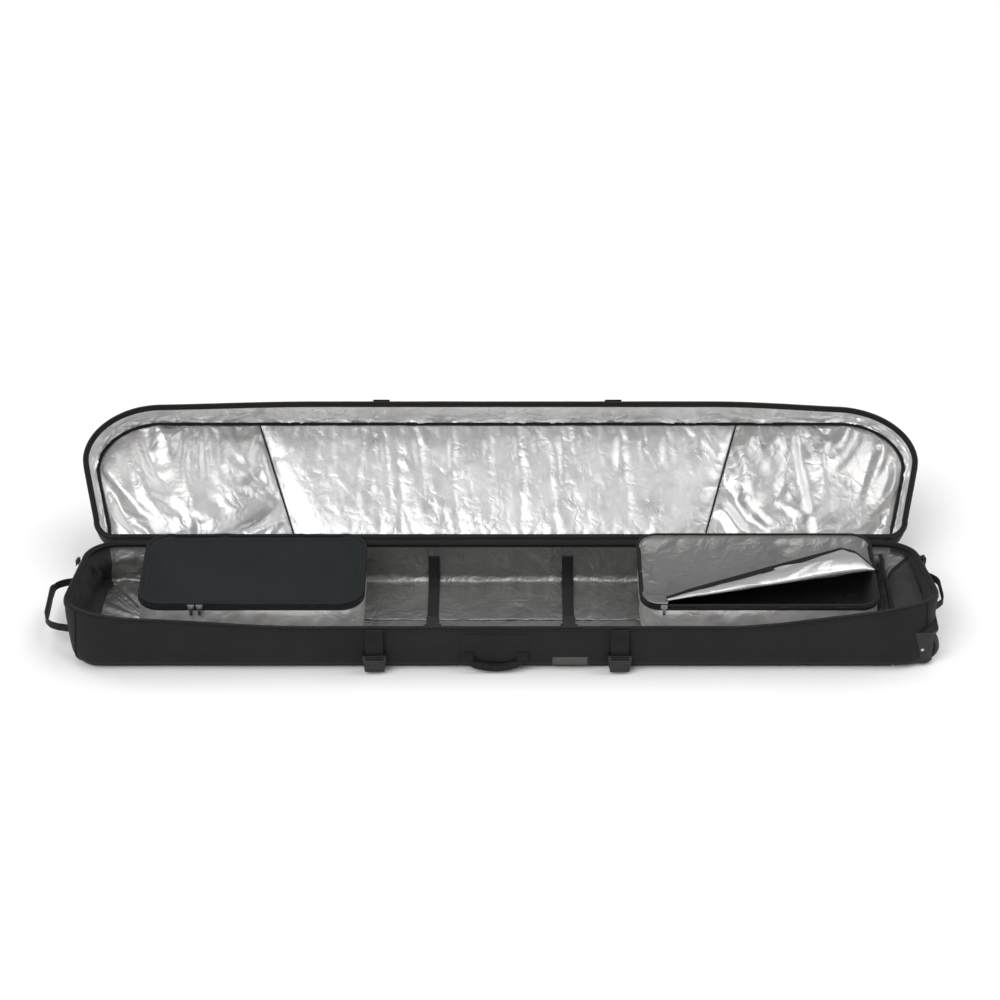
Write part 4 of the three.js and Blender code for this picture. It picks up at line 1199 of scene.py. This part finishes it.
def make_lid_lining():
    wall = lid_rings(LID_INNER_INSETS, LID_INNER_DROPS, 0.0085, np.linspace(0, 1, 30))
    normals = surface_normals(wall)
    along = arc_lengths(LID_LINE)[None, :]
    level = np.linspace(0, 1, len(wall))[:, None]
    pucker = np.sin(along * 190 + level * 5 + 3 * field(wall, 7, 41)) * field(wall, 11, 42)
    rumple = abs(field(wall * [1, 1, 1.6], 26, 43))
    spread = np.broadcast_to(along, wall.shape[:2])
    folds = creased(spread, level * 0.10, 420, 46, (0, 4.3, 0, 0.1), 0.035, 0.006, 0.0050, (15, 165))
    hold = np.sin(np.clip(level, 0, 1) * math.pi) ** 0.6
    slack = 0.0040 * abs(pucker) + 0.0060 * rumple + np.clip(folds, -0.002, 0.008)
    wall = wall - normals * (slack * hold)[..., None]
    # the gusset takes the lightened foil copy: painted light
    piece = make_piece("lid_gusset_lining", opened(wall), ring_faces(len(wall), N), "foil_gusset_painted_light",
                       uv=ring_uv(wall))
    merged(piece, 1e-7)
    solidified(piece, LINING_THICK, 1.0, body="lid")
    panels = [make_lid_panel(wall[-1], part) for part in ("left", "centre", "right")]
    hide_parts("lid_lining")
    ring = wall[-3] + [0, 0, -0.0010]
    points, away = spaced(ring, 0.006, True, with_z(inward(LID_LINE), -0.9))
    sag = np.array([noise.noise(Vector(p * 20)) for p in points]) * 0.0007
    points = points + sag[:, None] * UP
    piece = lid_sweep("lid_seam_tape", points, unit(away), 0.0, rounded_box(0.0080, 0.0036))
    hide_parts("lid_seam_binding")
    for name in SEAMS:
        y = np.linspace(-PANEL_HALF, PANEL_HALF, 60)
        path = np.stack([seam_x(name, y), y, np.full_like(y, PANEL_Z - 0.0008)], 1)
        across = turned_open(np.cross(path[-1] - path[0], UP))
        strap(f"lid_seam_{name}", opened(path), across, 0.0030, 0.0012, "thread", "lid")
        for row, sign in ROWS:
            beside = path + [sign * 0.0045, 0, 0.0002]
            stitches(f"lid_seam_stitches_{name}_{row}", opened(beside), turned_open(DOWN), "lid")


def lid_profile(x, wall, lift):
    """The lid's outside at one x, from the front rim over the top to near the hinge, lifted by `lift`."""
    column = int(np.argmin(abs(wall[0, :CORNER_START, 0] - abs(x))))
    line = wall[:, column, 1:]
    line = line[line[:, 1] > BASE_HEIGHT + 0.012]
    top = np.array([(yy, LID_TOP - 0.0003) for yy in np.linspace(line[-1, 0] + 0.01, 0.128, 26)])
    path = np.concatenate([line, top])
    points = np.stack([np.full(len(path), x), path[:, 0], path[:, 1]], 1)
    return points + unit(np.cross(RIGHT, tangents(points))) * lift


def make_lid_straps(wall):
    for side, x in STRAPS.items():
        path = lid_profile(x, wall, 0.0012)
        piece = strap(f"lid_long_strap_{side}", opened(path), RIGHT, WEBBING, WEB_THICK, "webbing", "lid")
        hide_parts(f"lid_strap_{side}")
        for row, sign in ROWS:
            edge = path + RIGHT * (sign * (WEBBING / 2 - 0.003))
            up = unit(np.cross(RIGHT, tangents(edge)))
            name = f"lid_long_strap_{side}_stitches_{row}"
            stitches(name, opened(edge + up * 0.0010), turned_open(up), "lid")


# ---- hanging straps and buckles ----
TAIL_HALF = 0.0205  # half the length of a lid tail's webbing


def box_stitches(name, centre, width, height, up, body):
    """The upright square with a cross that fastens webbing."""
    turns = [(-1, -1), (1, -1), (1, 1), (-1, 1), (-1, -1), (1, 1), (1, -1), (-1, 1)]
    path = [np.array(centre) + RIGHT * (a * width / 2) + DOWN * (b * height / 2) for a, b in turns]
    stitches(name, path, up, body, pitch=BOX_PITCH)


def make_hanging_straps():
    for side, x in STRAPS.items():
        low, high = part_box(f"front_strap_{side}_webbing")
        y = (low.y + high.y) / 2
        path = [(x, y + 0.0060, high.z + 0.004), (x, y + 0.0030, high.z), (x, y - 0.0002, high.z - 0.012),
                (x, y - 0.0008, high.z - 0.035), (x, y, low.z + 0.006), (x, y + 0.0004, low.z - 0.008)]
        path = through(path, np.linspace(0, 1, 20))
        body = f"front_strap_{side}"
        piece = strap(f"{body}_band", path, RIGHT, WEBBING, WEB_THICK, "webbing", body)
        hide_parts(f"front_strap_{side}_webbing")
        sewn = [(x, -HALF_WIDTH - 0.0020, high.z - 0.030), (x, -HALF_WIDTH - 0.0034, high.z - 0.010),
                (x, -HALF_WIDTH - 0.0040, high.z + 0.0005), (x, y + 0.0058, high.z + 0.0040)]
        sewn = through(sewn, np.linspace(0, 1, 12))
        strap(f"{body}_anchor", sewn, RIGHT, WEBBING, WEB_THICK, "webbing", "tray")
        box_stitches(f"{body}_stitches", (x, y - 0.0016, high.z - 0.017), 0.030, 0.016, FRONT, body)
        low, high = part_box(f"lid_tail_{side}_webbing")
        middle = (np.array(low) + np.array(high)) / 2
        fall = turned_open(UP)
        start, stop = middle - fall * TAIL_HALF, middle + fall * TAIL_HALF
        path = np.array([start + (stop - start) * t for t in np.linspace(-0.06, 1.06, 12)])
        body = f"lid_tail_{side}"
        piece = strap(f"{body}_band", path, RIGHT, WEBBING, WEB_THICK, "webbing", body)
        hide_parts(f"lid_tail_{side}_webbing")


def refined(node, look, width=0.0007, segments=2, angle=30):
    """A CAD node that keeps its shape: its edges are eased and it gets its material."""
    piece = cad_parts[node]
    piece.data.materials.clear()
    piece.data.materials.append(MATERIALS[look])
    weld = piece.modifiers.new("weld", "WELD")
    weld.merge_threshold = 1e-6
    flat = piece.modifiers.new("flat", "DECIMATE")
    flat.decimate_type = "DISSOLVE"
    flat.angle_limit = math.radians(1.0)
    bevel = piece.modifiers.new("bevel", "BEVEL")
    bevel.width = width
    bevel.segments = segments
    bevel.limit_method = "ANGLE"
    bevel.angle_limit = math.radians(angle)
    bevel.harden_normals = True
    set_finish(piece, SLOT_OF[look])


def refine_nodes():
    for side in STRAPS:
        refined(f"front_buckle_{side}", "plastic", 0.0010, 3)
        refined(f"lid_buckle_{side}", "plastic", 0.0008, 3)
        refined(f"tie_buckle_frame_{side}", "plastic", 0.0006)
        refined(f"tie_buckle_lever_{side}", "plastic", 0.0006)
    refined("wheel_housing", "plastic", 0.0016, 3, 20)
    for wheel in ("front", "rear"):
        refined(f"{wheel}_wheel_axle", "steel", 0.0005)
        for end in ("inner", "outer"):
            refined(f"{wheel}_wheel_bearing_{end}", "steel", 0.0004, 2, 40)
    for name in ("left_pouch_slider_a", "left_pouch_slider_b", "right_pouch_slider"):
        refined(name, "slider", 0.0008, 2)
    for end in ("handle", "wheel"):
        refined(f"main_zip_slider_{end}_end", "gunmetal", 0.0008, 2)
    refined("floor_stiffener", "hidden_foam", 0.0004, 1)


# ---- handles ----
def outside_patch(name, node, lift, look, wall):
    """Cloth laid on the tray's front wall where its CAD node is."""
    low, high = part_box(node)
    xs = np.linspace(low.x, high.x, 60)
    zs = np.linspace(low.z, high.z, 14)
    points = []
    for z in zs:
        line = []
        for x in xs:
            column = int(round(abs(x) / (PLAN["rim"][0] - PLAN["rim"][1]) * COUNTS[0]))
            column = column if x >= 0 else mirrored(column)
            y = np.interp(z, wall[:, column, 2], wall[:, column, 1])
            edge = min(x - low.x, high.x - x, z - low.z, high.z - z)
            line.append([x, y - lift * float(smooth(edge / 0.0016)), z])
        points.append(line)
    faces = ring_faces(len(zs), len(xs), closed=False)[:, ::-1]
    piece = make_piece(name, points, faces, look, uv=grid_uv(xs, zs))
    solidified(piece, LINING_THICK, 0.0, body="tray")
    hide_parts(node)


def make_haul_handle(wall):
    outside_patch("haul_handle_backing", "haul_handle_panel", 0.0020, "shell_cloth", wall)
    low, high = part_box("haul_handle")
    x = (low.x + high.x) / 2
    half = (high.x - low.x) / 2
    y = (low.y + high.y) / 2 - 0.0006
    u = np.linspace(-1, 1, 50)
    z = high.z - 0.0085 - 0.0165 * (1 - u**2)
    centre = np.stack([x + u * (half - 0.002), np.full_like(u, y), z], 1)
    up = unit(np.cross(tangents(centre), FRONT))
    wide = 0.55 + 0.45 * smooth((1 - abs(u)) / 0.35)
    thick = 0.35 + 0.65 * smooth((1 - abs(u)) / 0.40)
    piece = sweep("haul_grip", centre, up, alike(-FRONT, centre), rounded_box(0.0190, 0.0072, 7), "webbing",
                  "haul_handle", scale=np.stack([wide, thick], 1))
    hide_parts("haul_handle")
    for row, sign in ROWS:
        edge = centre + up * (sign * 0.0068 * wide)[:, None] + FRONT * (0.0037 * thick)[:, None]
        stitches(f"haul_grip_stitches_{row}", edge[4:-4], FRONT, "haul_handle")
    root = high.z + 0.001
    for name, sign in SIDES:
        tab = x + sign * (half - 0.004)
        path = [(tab, y + 0.0005, root - 0.010), (tab, y + 0.001, root), (tab, y + 0.0030, root + 0.012)]
        path = through(path, np.linspace(0, 1, 9))
        strap(f"haul_tab_{name}", path, RIGHT, 0.024, 0.0022, "webbing", "tray")
        at = (tab, y + 0.0005, root + 0.004)
        box_stitches(f"haul_tab_stitches_{name}", at, 0.018, 0.010, FRONT, "tray")


def make_end_handle():
    low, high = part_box("end_handle")
    z = (low.z + high.z) / 2
    half = (high.y - low.y) / 2
    x0, x1 = high.x, low.x
    path = [(x0 + 0.009, half + 0.004), (x0 - 0.004, half + 0.001), (x0 - 0.018, half - 0.003),
            (x1 + 0.012, half - 0.014), (x1 + 0.0035, half - 0.036), (x1 + 0.0030, 0.018)]
    path = np.array(path + [(x, -y) for x, y in path[::-1]])
    line = through(path, np.linspace(0, 1, 90))
    centre = with_z(line, z)
    side = alike(UP, centre)
    up = unit(np.cross(tangents(centre), side))
    grip = smooth((half * 0.80 - abs(centre[:, 1])) / 0.020)
    scale = np.stack([0.62 + 0.38 * grip, 0.45 + 0.55 * grip], 1)
    piece = sweep("end_grip", centre, side, up, rounded_box(0.031, 0.0064, 7), "webbing", "end_handle",
                  scale=scale)
    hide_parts("end_handle")
    inside = grip > 0.95
    for row, sign in ROWS:
        edge = centre + side * sign * 0.0118 + up * 0.0033
        stitches(f"end_grip_stitches_{row}", edge[inside], up[inside], "end_handle")
    refined("end_handle_panel", "shell_cloth", 0.0008, 2)


def make_wheel_end_handle():
    low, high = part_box("wheel_end_handle")
    z = (low.z + high.z) / 2
    path = [(0.9400, -0.086), (0.9560, -0.071), (0.9632, -0.056), (0.9632, -0.014), (0.9600, 0.014),
            (0.9360, 0.038)]
    centre = with_z(through(path, np.linspace(0, 1, 60)), z)
    piece = strap("wheel_end_grip", centre, UP, 0.018, 0.0034, "webbing", "tray")
    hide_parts("wheel_end_handle")
    up = unit(np.cross(tangents(centre), UP))
    for row, sign in ROWS:
        edge = centre + UP * sign * 0.0065 + up * 0.0018
        stitches(f"wheel_end_grip_stitches_{row}", edge, up, "tray")


def make_patch(wall):
    outside_patch("grey_patch", "label_patch", 0.0011, "patch", wall)
    low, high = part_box("label_patch")
    x0, x1, z0, z1 = low.x + 0.003, high.x - 0.003, low.z + 0.003, high.z - 0.003
    y = low.y - 0.0002
    path = [(x0, y, z0), (x1, y, z0), (x1, y, z1), (x0, y, z1)]
    stitches("grey_patch_stitches", path, FRONT, "tray", closed=True, pitch=BOX_PITCH)


# ---- tie-down straps ----
def make_tie_straps():
    wall = HALF_WIDTH - 0.0125
    half = [(wall, 0.080), (wall - 0.003, 0.052), (wall - 0.010, 0.030), (0.126, 0.0185), (0.100, 0.0175),
            (0.060, 0.0176)]
    path = [(-y, z) for y, z in half] + [(y, z) for y, z in half[::-1]]
    for side, sign in SIDES:
        x = sign * TIE_X
        line = through([(x, y, z) for y, z in path], np.linspace(0, 1, 110))
        piece = strap(f"tie_band_{side}", line, RIGHT, 0.025, 0.0014, "webbing", "tray")
        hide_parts(f"tie_strap_{side}")
        for name, end in (("front", -1), ("back", 1)):
            at = (x, end * (wall - 0.0012), 0.070)
            box_stitches(f"tie_band_{side}_stitches_{name}", at, 0.019, 0.014, FRONT * end, "tray")


# ---- wheels ----
BOX_FACES = ((0, 1, 3, 2), (4, 6, 7, 5), (0, 4, 5, 1), (2, 3, 7, 6), (1, 5, 7, 3), (0, 2, 6, 4))
SPOKES = 6
TREAD_BLOCKS = 30


def tyre_rings(y, segments=180):
    """The tyre's profile turned round its axle, with tread blocks either side of a middle groove."""
    w, radius, rim = WHEEL["width"] / 2, WHEEL["radius"], WHEEL["rim"]
    half = [(rim + 0.0005, w - 0.0035), (radius - 0.0060, w - 0.0004), (radius - 0.0020, w - 0.0030),
            (radius - 0.0004, w - 0.0080), (radius, 0.0042), (radius, 0.0030)]
    nodes = [(r, -d) for r, d in half] + [(radius - 0.0012, 0.0)] + half[::-1]
    profile = through(nodes, np.linspace(0, 1, 40))
    a = np.arange(segments) / segments * 2 * math.pi
    rings = []
    for r, d in profile:
        block = np.sin(a * TREAD_BLOCKS + np.sign(d) * 0.8) > 0.55
        cut = block & (r > radius - 0.0030) & (abs(d) > 0.0035)
        at = r - np.where(cut, 0.0009, 0.0)
        rings.append(np.stack([WHEEL["x"] + at * np.cos(a), np.full(segments, y + d),
                               WHEEL["z"] + at * np.sin(a)], 1))
    return np.stack(rings), grid_uv(a * 0.03, arc_lengths(profile))


def make_spokes(name, side):
    """Straight ribs across the outer face of a wheel's hub."""
    start = np.array([WHEEL["x"], side * (WHEEL["y"] + WHEEL["width"] / 2 - 0.0085), WHEEL["z"]])
    ribs = []
    for k in range(SPOKES):
        a = k * 2 * math.pi / SPOKES
        radial = np.array([math.cos(a), 0, math.sin(a)])
        round_it = np.array([-math.sin(a), 0, math.cos(a)])
        for r in (0.0112, 0.0212):
            for o in (-0.0016, 0.0016):
                for d in (0.0, 0.0052):
                    ribs.append(start + radial * r + round_it * o + np.array([0, side * d, 0]))
    faces = [[8 * k + corner for corner in face] for k in range(SPOKES) for face in BOX_FACES]
    uv = np.array(ribs)[:, [0, 2]]
    piece = make_piece(f"{name}_wheel_spokes", ribs, faces, "plastic", uv=uv, round_shaded=False)
    merged(piece, 1e-7, closed=True)
    bevel = piece.modifiers.new("bevel", "BEVEL")
    bevel.width = 0.0006
    bevel.segments = 2
    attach(piece, f"{name}_wheel")


def make_wheels():
    for name, side in (("front", -1), ("rear", 1)):
        rings, uv = tyre_rings(side * WHEEL["y"])
        k, n = rings.shape[:2]
        faces = ring_faces(k, n).tolist() + closing_faces(k, n)
        piece = make_piece(f"{name}_wheel_tread", rings, faces, "tyre", uv=uv)
        merged(piece, 1e-7, closed=True)
        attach(piece, f"{name}_wheel")
        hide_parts(f"{name}_wheel_tyre")
        refined(f"{name}_wheel_hub", "plastic", 0.0006, 2, 25)
        make_spokes(name, side)


# ---- pouches ----
PER_CORNER = 22
PER_SIDE = (70, 26)


def pouch_outline(pouch, inset_by, lean=POUCH_LEAN):
    """The pouch's outline from its left front corner round, at the height where its front has leant back."""
    r = max(0.002, pouch["radius"] - inset_by)
    l, h, w = pouch["x0"] + inset_by + r, pouch["x1"] - inset_by - r, pouch["half"] - inset_by - r
    parts = []
    corners = [(l, lean - w, 180), (h, lean - w, 270), (h, w, 0), (l, w, 90)]
    for k, (cx, cy, start) in enumerate(corners):
        a = np.radians(start + 90 * shares(PER_CORNER))
        parts.append(np.stack([cx + r * np.cos(a), cy + r * np.sin(a)], 1))
        nx, ny, _ = corners[(k + 1) % 4]
        a = math.radians(start + 90)
        p = np.array([cx + r * math.cos(a), cy + r * math.sin(a)])
        q = np.array([nx + r * math.cos(a), ny + r * math.sin(a)])
        count = PER_SIDE[k % 2]
        parts.append(p + (q - p) * shares(count)[:, None])
    return np.concatenate(parts)


def pouch_middle(pouch):
    """The point of the pouch's middle line that each outline point is gathered to."""
    count = 4 * PER_CORNER + 2 * sum(PER_SIDE)
    x0, x1 = pouch["x0"] + 0.13, pouch["x1"] - 0.13
    x = np.zeros(count)
    front = np.arange(PER_CORNER // 2, PER_CORNER + PER_SIDE[0] + PER_CORNER // 2 + 1)
    x[front] = np.linspace(x0, x1, len(front))
    back_start = 2 * PER_CORNER + sum(PER_SIDE) + PER_CORNER // 2
    back = np.arange(back_start, back_start + len(front))
    x[back % count] = np.linspace(x1, x0, len(front))
    right = np.arange(front[-1], back[0] + 1)
    x[right] = x1
    left = np.concatenate([np.arange(back[-1], count), np.arange(0, front[0] + 1)])
    x[left % count] = x0
    return np.stack([x, np.zeros(count)], 1)


def pouch_body(name, side, puff):
    p = POUCHES[side]
    s = np.linspace(0, 1, 26)
    insets = through([0.030, 0.012, 0.0035, 0.0010, 0.0006, 0.0004], s)
    zs = through([p["z0"] + 0.0008, p["z0"] + 0.0050, p["z0"] + 0.020, 0.062, 0.102, p["z1"]], s)
    leans = through([0, 0, 0, 0.003, 0.013, POUCH_LEAN], s)
    wall = np.stack([with_z(pouch_outline(p, i, back), z) for i, back, z in zip(insets, leans, zs)])
    n = wall.shape[1]
    hold = np.sin(np.clip(s, 0, 1) * math.pi)[:, None] ** 0.7
    drop = abs(field(wall * [1, 1, 0.7], 17, puff)) * 0.0085 + abs(field(wall, 36, puff + 1)) * 0.0026
    wall = wall - surface_normals(wall) * (drop * hold)[..., None]
    middle = with_z(pouch_middle(p), p["z0"] + 0.0006)
    under = np.stack([wall[0] + (middle - wall[0]) * t for t in np.linspace(1, 0.1, 8)])
    outside = np.concatenate([under, wall])
    inside = outside.copy()
    inside[len(under):] -= surface_normals(outside)[len(under):] * 0.0022
    inside[:len(under), :, 2] += 0.0024
    rings = np.concatenate([outside, inside[::-1]])
    faces = ring_faces(len(rings), n)
    look = np.where(faces[:, 0] // n < len(outside), 0, 1)
    # the outer faces take the lightened foil copy: painted light
    piece = make_piece(name, rings, faces, "foil_side_painted_light", uv=ring_uv(rings), looks=["foil_side_painted_light", "dark_inside"],
                       face_look=look)
    merged(piece)
    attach(piece, f"{side}_pouch")
    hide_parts(f"{side}_pouch_body")


def flat_tape(name, points, away, width, thick, body, closed=True):
    """Binding that lies level along a line."""
    section = rounded_box(width, thick)
    return sweep(name, points, unit(away), alike(UP, points), section, "binding", body, closed)


def zip_teeth(name, places, across, up, body):
    template, faces = spindle(0.0044, 0.0007)
    scattered(name, places, across, tangents(places), up, template, faces, "coil", body)


def pouch_edge(side):
    """The bound seam round the pouch's top, with the zip under it."""
    p = POUCHES[side]
    body = f"{side}_pouch"
    line = pouch_outline(p, 0.0030)
    out = outward(line)
    points, away = spaced(with_z(line, POUCH_TOP - 0.0012), TAPE_STEP, True, out)
    section = rounded_box(0.0080, 0.0042, 6)
    up = alike(UP, points)
    piece = sweep(f"{body}_edge", points, unit(away), up, section, "binding", body, closed=True)
    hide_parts(f"{side}_pouch_binding")
    points, away = spaced(with_z(pouch_outline(p, -0.0006), POUCH_ZIP), 0.006, True, out)
    section = rounded_box(0.0080, 0.0010)
    sweep(f"{body}_zip_tape", points, alike(UP, points), unit(away), section, "binding", body, closed=True)
    front = with_z(pouch_outline(p, -0.0014), POUCH_ZIP)
    keep = np.arange(PER_CORNER // 2, 2 * PER_CORNER + sum(PER_SIDE) - 4)
    places, away = spaced(front[keep], ZIP_STEP, False, out[keep])
    zip_teeth(f"{body}_zip_coil", places, alike(UP, places), unit(away), body)


def make_pouch_hinge(p):
    """The cloth strip that the mesh top turns on, along the pouch's back."""
    back = p["half"]
    reach = (p["x1"] - p["x0"]) / 2 - p["radius"]
    middle = (p["x0"] + p["x1"]) / 2
    profile = [(back + 0.0004, -0.0120), (back + 0.0008, -0.0050), (back + 0.0010, -0.0012),
               (back + 0.0008, 0.0016), (back - 0.0008, 0.0034), (back - 0.0060, 0.0046)]
    x = np.linspace(middle - reach, middle + reach, 120)
    faces = ring_faces(len(profile), len(x), closed=False)
    piece = make_piece("left_pouch_hinge", extruded(x, profile, POUCH_TOP), faces, "binding",
                       uv=grid_uv(x, np.linspace(0, 0.024, len(profile))))
    solidified(piece, 0.0008, 0.0)
    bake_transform(piece)


def settled_top(rows, edge, base, limit):
    """A pouch's top after simulation, kept within `limit` of its base height."""
    rows = settle(rows, smooth((edge - 0.004) / 0.012), 0.012, (0, 0, -0.6), 0.3)
    rows[..., 2] = POUCH_TOP + base + limit * np.tanh((rows[..., 2] - POUCH_TOP - base) / limit)
    return rows


def make_left_pouch():
    pouch_body("left_pouch_sides", "left", 61)
    pouch_edge("left")
    p = POUCHES["left"]
    half, r = p["half"] - 0.0006, p["radius"]
    middle = POUCH_LEAN / 2
    y = middle + (half - middle) * np.sin(np.linspace(-math.pi / 2, math.pi / 2, 64))
    past = np.clip(abs(y - middle) - (half - middle - r), 0, r)
    tuck = r - np.sqrt(r**2 - past**2) + 0.0006
    rows = raised(between(np.stack([p["x0"] + tuck, y], 1), np.stack([p["x1"] - tuck, y], 1), 104),
                  POUCH_TOP + 0.0026)
    edge = edge_distance(rows)
    rise = 0.0040 + field(rows, 7, 66) * 0.0050
    box = (-0.78, -0.30, -0.12, 0.13)
    rise += creased(rows[..., 0], rows[..., 1], 30, 68, box, 0.06, 0.012, 0.0050, (-60, 80))
    rows[..., 2] += np.clip(rise, 0.0002, 0.012) * smooth(edge / 0.03)
    rows = settled_top(rows, edge, 0.0020, 0.0125)
    piece = make_piece("left_pouch_mesh_top", rows, ring_faces(*rows.shape[:2], closed=False), "mesh",
                       uv=rows[..., :2])
    solidified(piece, 0.0008, body="left_pouch_lid")
    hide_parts("left_pouch_mesh_lid")
    make_pouch_hinge(p)
    for name, by, lift in (("edge", 0.0045, 0.0014), ("inner", 0.0190, 0.0005)):
        outline = pouch_outline(p, by)
        points, away = spaced(with_z(outline, 0), TAPE_STEP, True, outward(outline))
        points = laid_on(points, rows, lift)
        if name == "edge":
            flat_tape("left_pouch_lid_binding", points - UP * 0.0006, away, 0.0085, 0.0026, "left_pouch_lid")
        over = points + UP * 0.0006
        stitches(f"left_pouch_lid_stitches_{name}", over, UP, "left_pouch_lid", closed=True)


FOLD_ALONG = unit(FOLD_B - FOLD_A)
FOLD_ACROSS = np.array([FOLD_ALONG[1], -FOLD_ALONG[0]])
FOLD_LENGTH = 0.484


def fixed_top_front(x):
    """The front edge of the fixed top: the pouch's own corner up to the fold's start, then the fold line."""
    p = POUCHES["right"]
    r = p["radius"]
    front = POUCH_LEAN - p["half"] + 0.0008
    corner = front + r - np.sqrt(np.clip(r**2 - np.clip(p["x0"] + r - x, 0, r) ** 2, 0, None))
    line = FOLD_A[1] + (x - FOLD_A[0]) * FOLD_ALONG[1] / FOLD_ALONG[0] + 0.003
    return np.where(x < FOLD_A[0] + 0.004, corner, line)


def fixed_top_back(x):
    p = POUCHES["right"]
    r = p["radius"]
    dx = np.maximum(np.clip(p["x0"] + r - x, 0, r), np.clip(x - p["x1"] + r, 0, r))
    return p["half"] - r + np.sqrt(np.clip(r**2 - dx**2, 0, None)) - 0.0008


def make_right_pouch_top():
    """The part of the top behind the fold line, with its bound edge."""
    p = POUCHES["right"]
    left_x, right_x = p["x0"] + 0.0008, p["x1"] - 0.0008
    xs = left_x + (right_x - left_x) * (0.5 - 0.5 * np.cos(np.linspace(0, 1, 110) * math.pi))
    front, back = fixed_top_front(xs), fixed_top_back(xs)
    ys = np.stack([front + (back - front) * t for t in np.linspace(0, 1, 54)])
    points = np.stack([np.broadcast_to(xs, ys.shape), ys, np.full(ys.shape, POUCH_TOP + 0.0020)], -1)
    inner = smooth(np.minimum.reduce([points[..., 0] - left_x, right_x - points[..., 0], back - ys]) / 0.02)
    rise = 0.0034 + field(points, 8, 76) * 0.0040 + field(points, 22, 77) * 0.0014
    rise += creased(points[..., 0], ys, 60, 78, (0.31, 0.82, -0.13, 0.14), 0.05, 0.009, 0.0038, (-10, 70))
    points[..., 2] += np.clip(rise, 0.0, 0.012) * inner
    points = settled_top(points, edge_distance(points), 0.0016, 0.012)
    # the fixed top takes the darker foil copy, with shade painted into its colour
    piece = make_piece("right_pouch_fixed_top", points, ring_faces(*ys.shape, closed=False), "foil_painted_shade",
                       uv=points[..., :2])
    merged(piece, 1e-6)
    solidified(piece, LINING_THICK, body="right_pouch")
    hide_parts("right_pouch_top")
    line = pouch_outline(p, 0.0004)
    behind = (line - FOLD_A) @ -FOLD_ACROSS > 0.006
    order = np.roll(np.arange(len(line)), -int(np.argmax(behind & ~np.roll(behind, 1))))
    order = order[behind[order]]
    points, away = spaced(with_z(line, POUCH_TOP + 0.0022)[order], TAPE_STEP, False, outward(line)[order])
    flat_tape("right_pouch_top_binding", points, away, 0.0070, 0.0044, "right_pouch", closed=False)


def make_right_pouch_flap():
    """The rest of the top, rolled back over the fold line with its underside out."""
    p = POUCHES["right"]
    s = np.linspace(0.004, FOLD_LENGTH - 0.002, 120)
    to_front = (FOLD_A[1] + FOLD_ALONG[1] * s + p["half"] - POUCH_LEAN) / -FOLD_ACROSS[1]
    to_right = (p["x1"] - FOLD_A[0] - FOLD_ALONG[0] * s) / FOLD_ACROSS[0]
    longest = 0.128 - 0.9 * np.clip(s - 0.415, 0, 1)
    width = np.maximum(np.minimum.reduce([to_front, to_right, longest]), 0.004)
    share = np.linspace(0, 1, 34)
    # the roll's section, as shares of the flap's width: how far back over the top, and how high
    roll = [(0.0, 0.0), (0.02, 0.115), (0.13, 0.185), (0.30, 0.200), (0.47, 0.165), (0.60, 0.110),
            (0.70, 0.085)]
    fold = FOLD_A + FOLD_ALONG * s[:, None]
    flap = []
    for back, up in through(roll, share):
        laid_back = fold - FOLD_ACROSS * (back * width)[:, None]
        flap.append(with_z(laid_back, POUCH_TOP + 0.0075 + up * width * 0.62))
    flap = np.stack(flap)
    along = np.broadcast_to(s, flap.shape[:2])
    across = share[:, None] * width[None]
    ripple = creased(along, across, 44, 79, (0, 0.48, 0, 0.13), 0.05, 0.007, 0.0030, (-12, 35))
    ripple += field(flap, 12, 80) * 0.0016
    hold = smooth(width / 0.03)[None] * np.sin(share * math.pi)[:, None] ** 0.5
    flap[..., 2] += np.clip(ripple, -0.001, 0.006) * hold
    piece = make_piece("right_pouch_rolled_flap", flap, ring_faces(len(share), len(s), closed=False)[:, ::-1],
                       "foil_soft", uv=np.stack([along, across], -1))
    solidified(piece, LINING_THICK, body="right_pouch_flap")
    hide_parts("right_pouch_flap")
    edge = flap[-1] + UP * 0.0006
    points = spaced(edge, TAPE_STEP)[0]
    side = alike(np.append(-FOLD_ACROSS, 0), points)
    share = np.linspace(0, 1, len(points))
    wide = 0.35 + 0.65 * smooth(share / 0.12) * (1 - 0.5 * smooth((share - 0.45) / 0.4))
    up = unit(np.cross(side, tangents(points)))
    sweep("right_pouch_flap_binding", points, side, up, rounded_box(0.0200, 0.0026), "binding",
          "right_pouch_flap", scale=np.stack([wide, np.ones(len(wide))], 1))
    places = spaced(edge + UP * 0.0018, ZIP_STEP)[0]
    back = alike(side[0], places)
    zip_teeth("right_pouch_flap_zip_coil", places + back * 0.004, back, alike(UP, places), "right_pouch_flap")


def make_right_pouch():
    pouch_body("right_pouch_sides", "right", 71)
    pouch_edge("right")
    make_right_pouch_top()
    make_right_pouch_flap()


def make_floor():
    size, under = 30.0, -0.0002
    bright = (0.97, 0.97, 0.97)
    corners = [(size * x, size * y, under) for x, y in ((-1, -1), (1, -1), (1, 1), (-1, 1))]
    floor = make_piece("studio_floor", corners, [[0, 1, 2, 3]], "patch", round_shaded=False)
    made, tree, bsdf = shader("studio_floor", bright, 0.9)
    tinted(tree, bsdf, bright, 0.01, 2)
    floor.data.materials.clear()
    floor.data.materials.append(made)
    del floor["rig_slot"]


make_camera()
make_studio()
make_floor()
tray_wall = make_tray_shell()
make_piping(tray_wall)
make_rim("tray", RIM_LINE, RIM_HEIGHTS, 1, 0.0115, np.array, np.array, ("base_rim_binding", "base_zip_coil"))
make_tray_lining()
make_end_pocket(make_wheel_cover())
make_hinge()
lid_wall = make_lid_shell()
make_rim("lid", LID_LINE, LID_HEIGHTS, -1, 0.0085, opened, turned_open, ("lid_rim_binding", "lid_zip_coil"))
make_lid_lining()
make_lid_straps(lid_wall)
make_hanging_straps()
make_haul_handle(tray_wall)
make_end_handle()
make_wheel_end_handle()
make_patch(tray_wall)
make_tie_straps()
make_wheels()
make_left_pouch()
make_right_pouch()
refine_nodes()
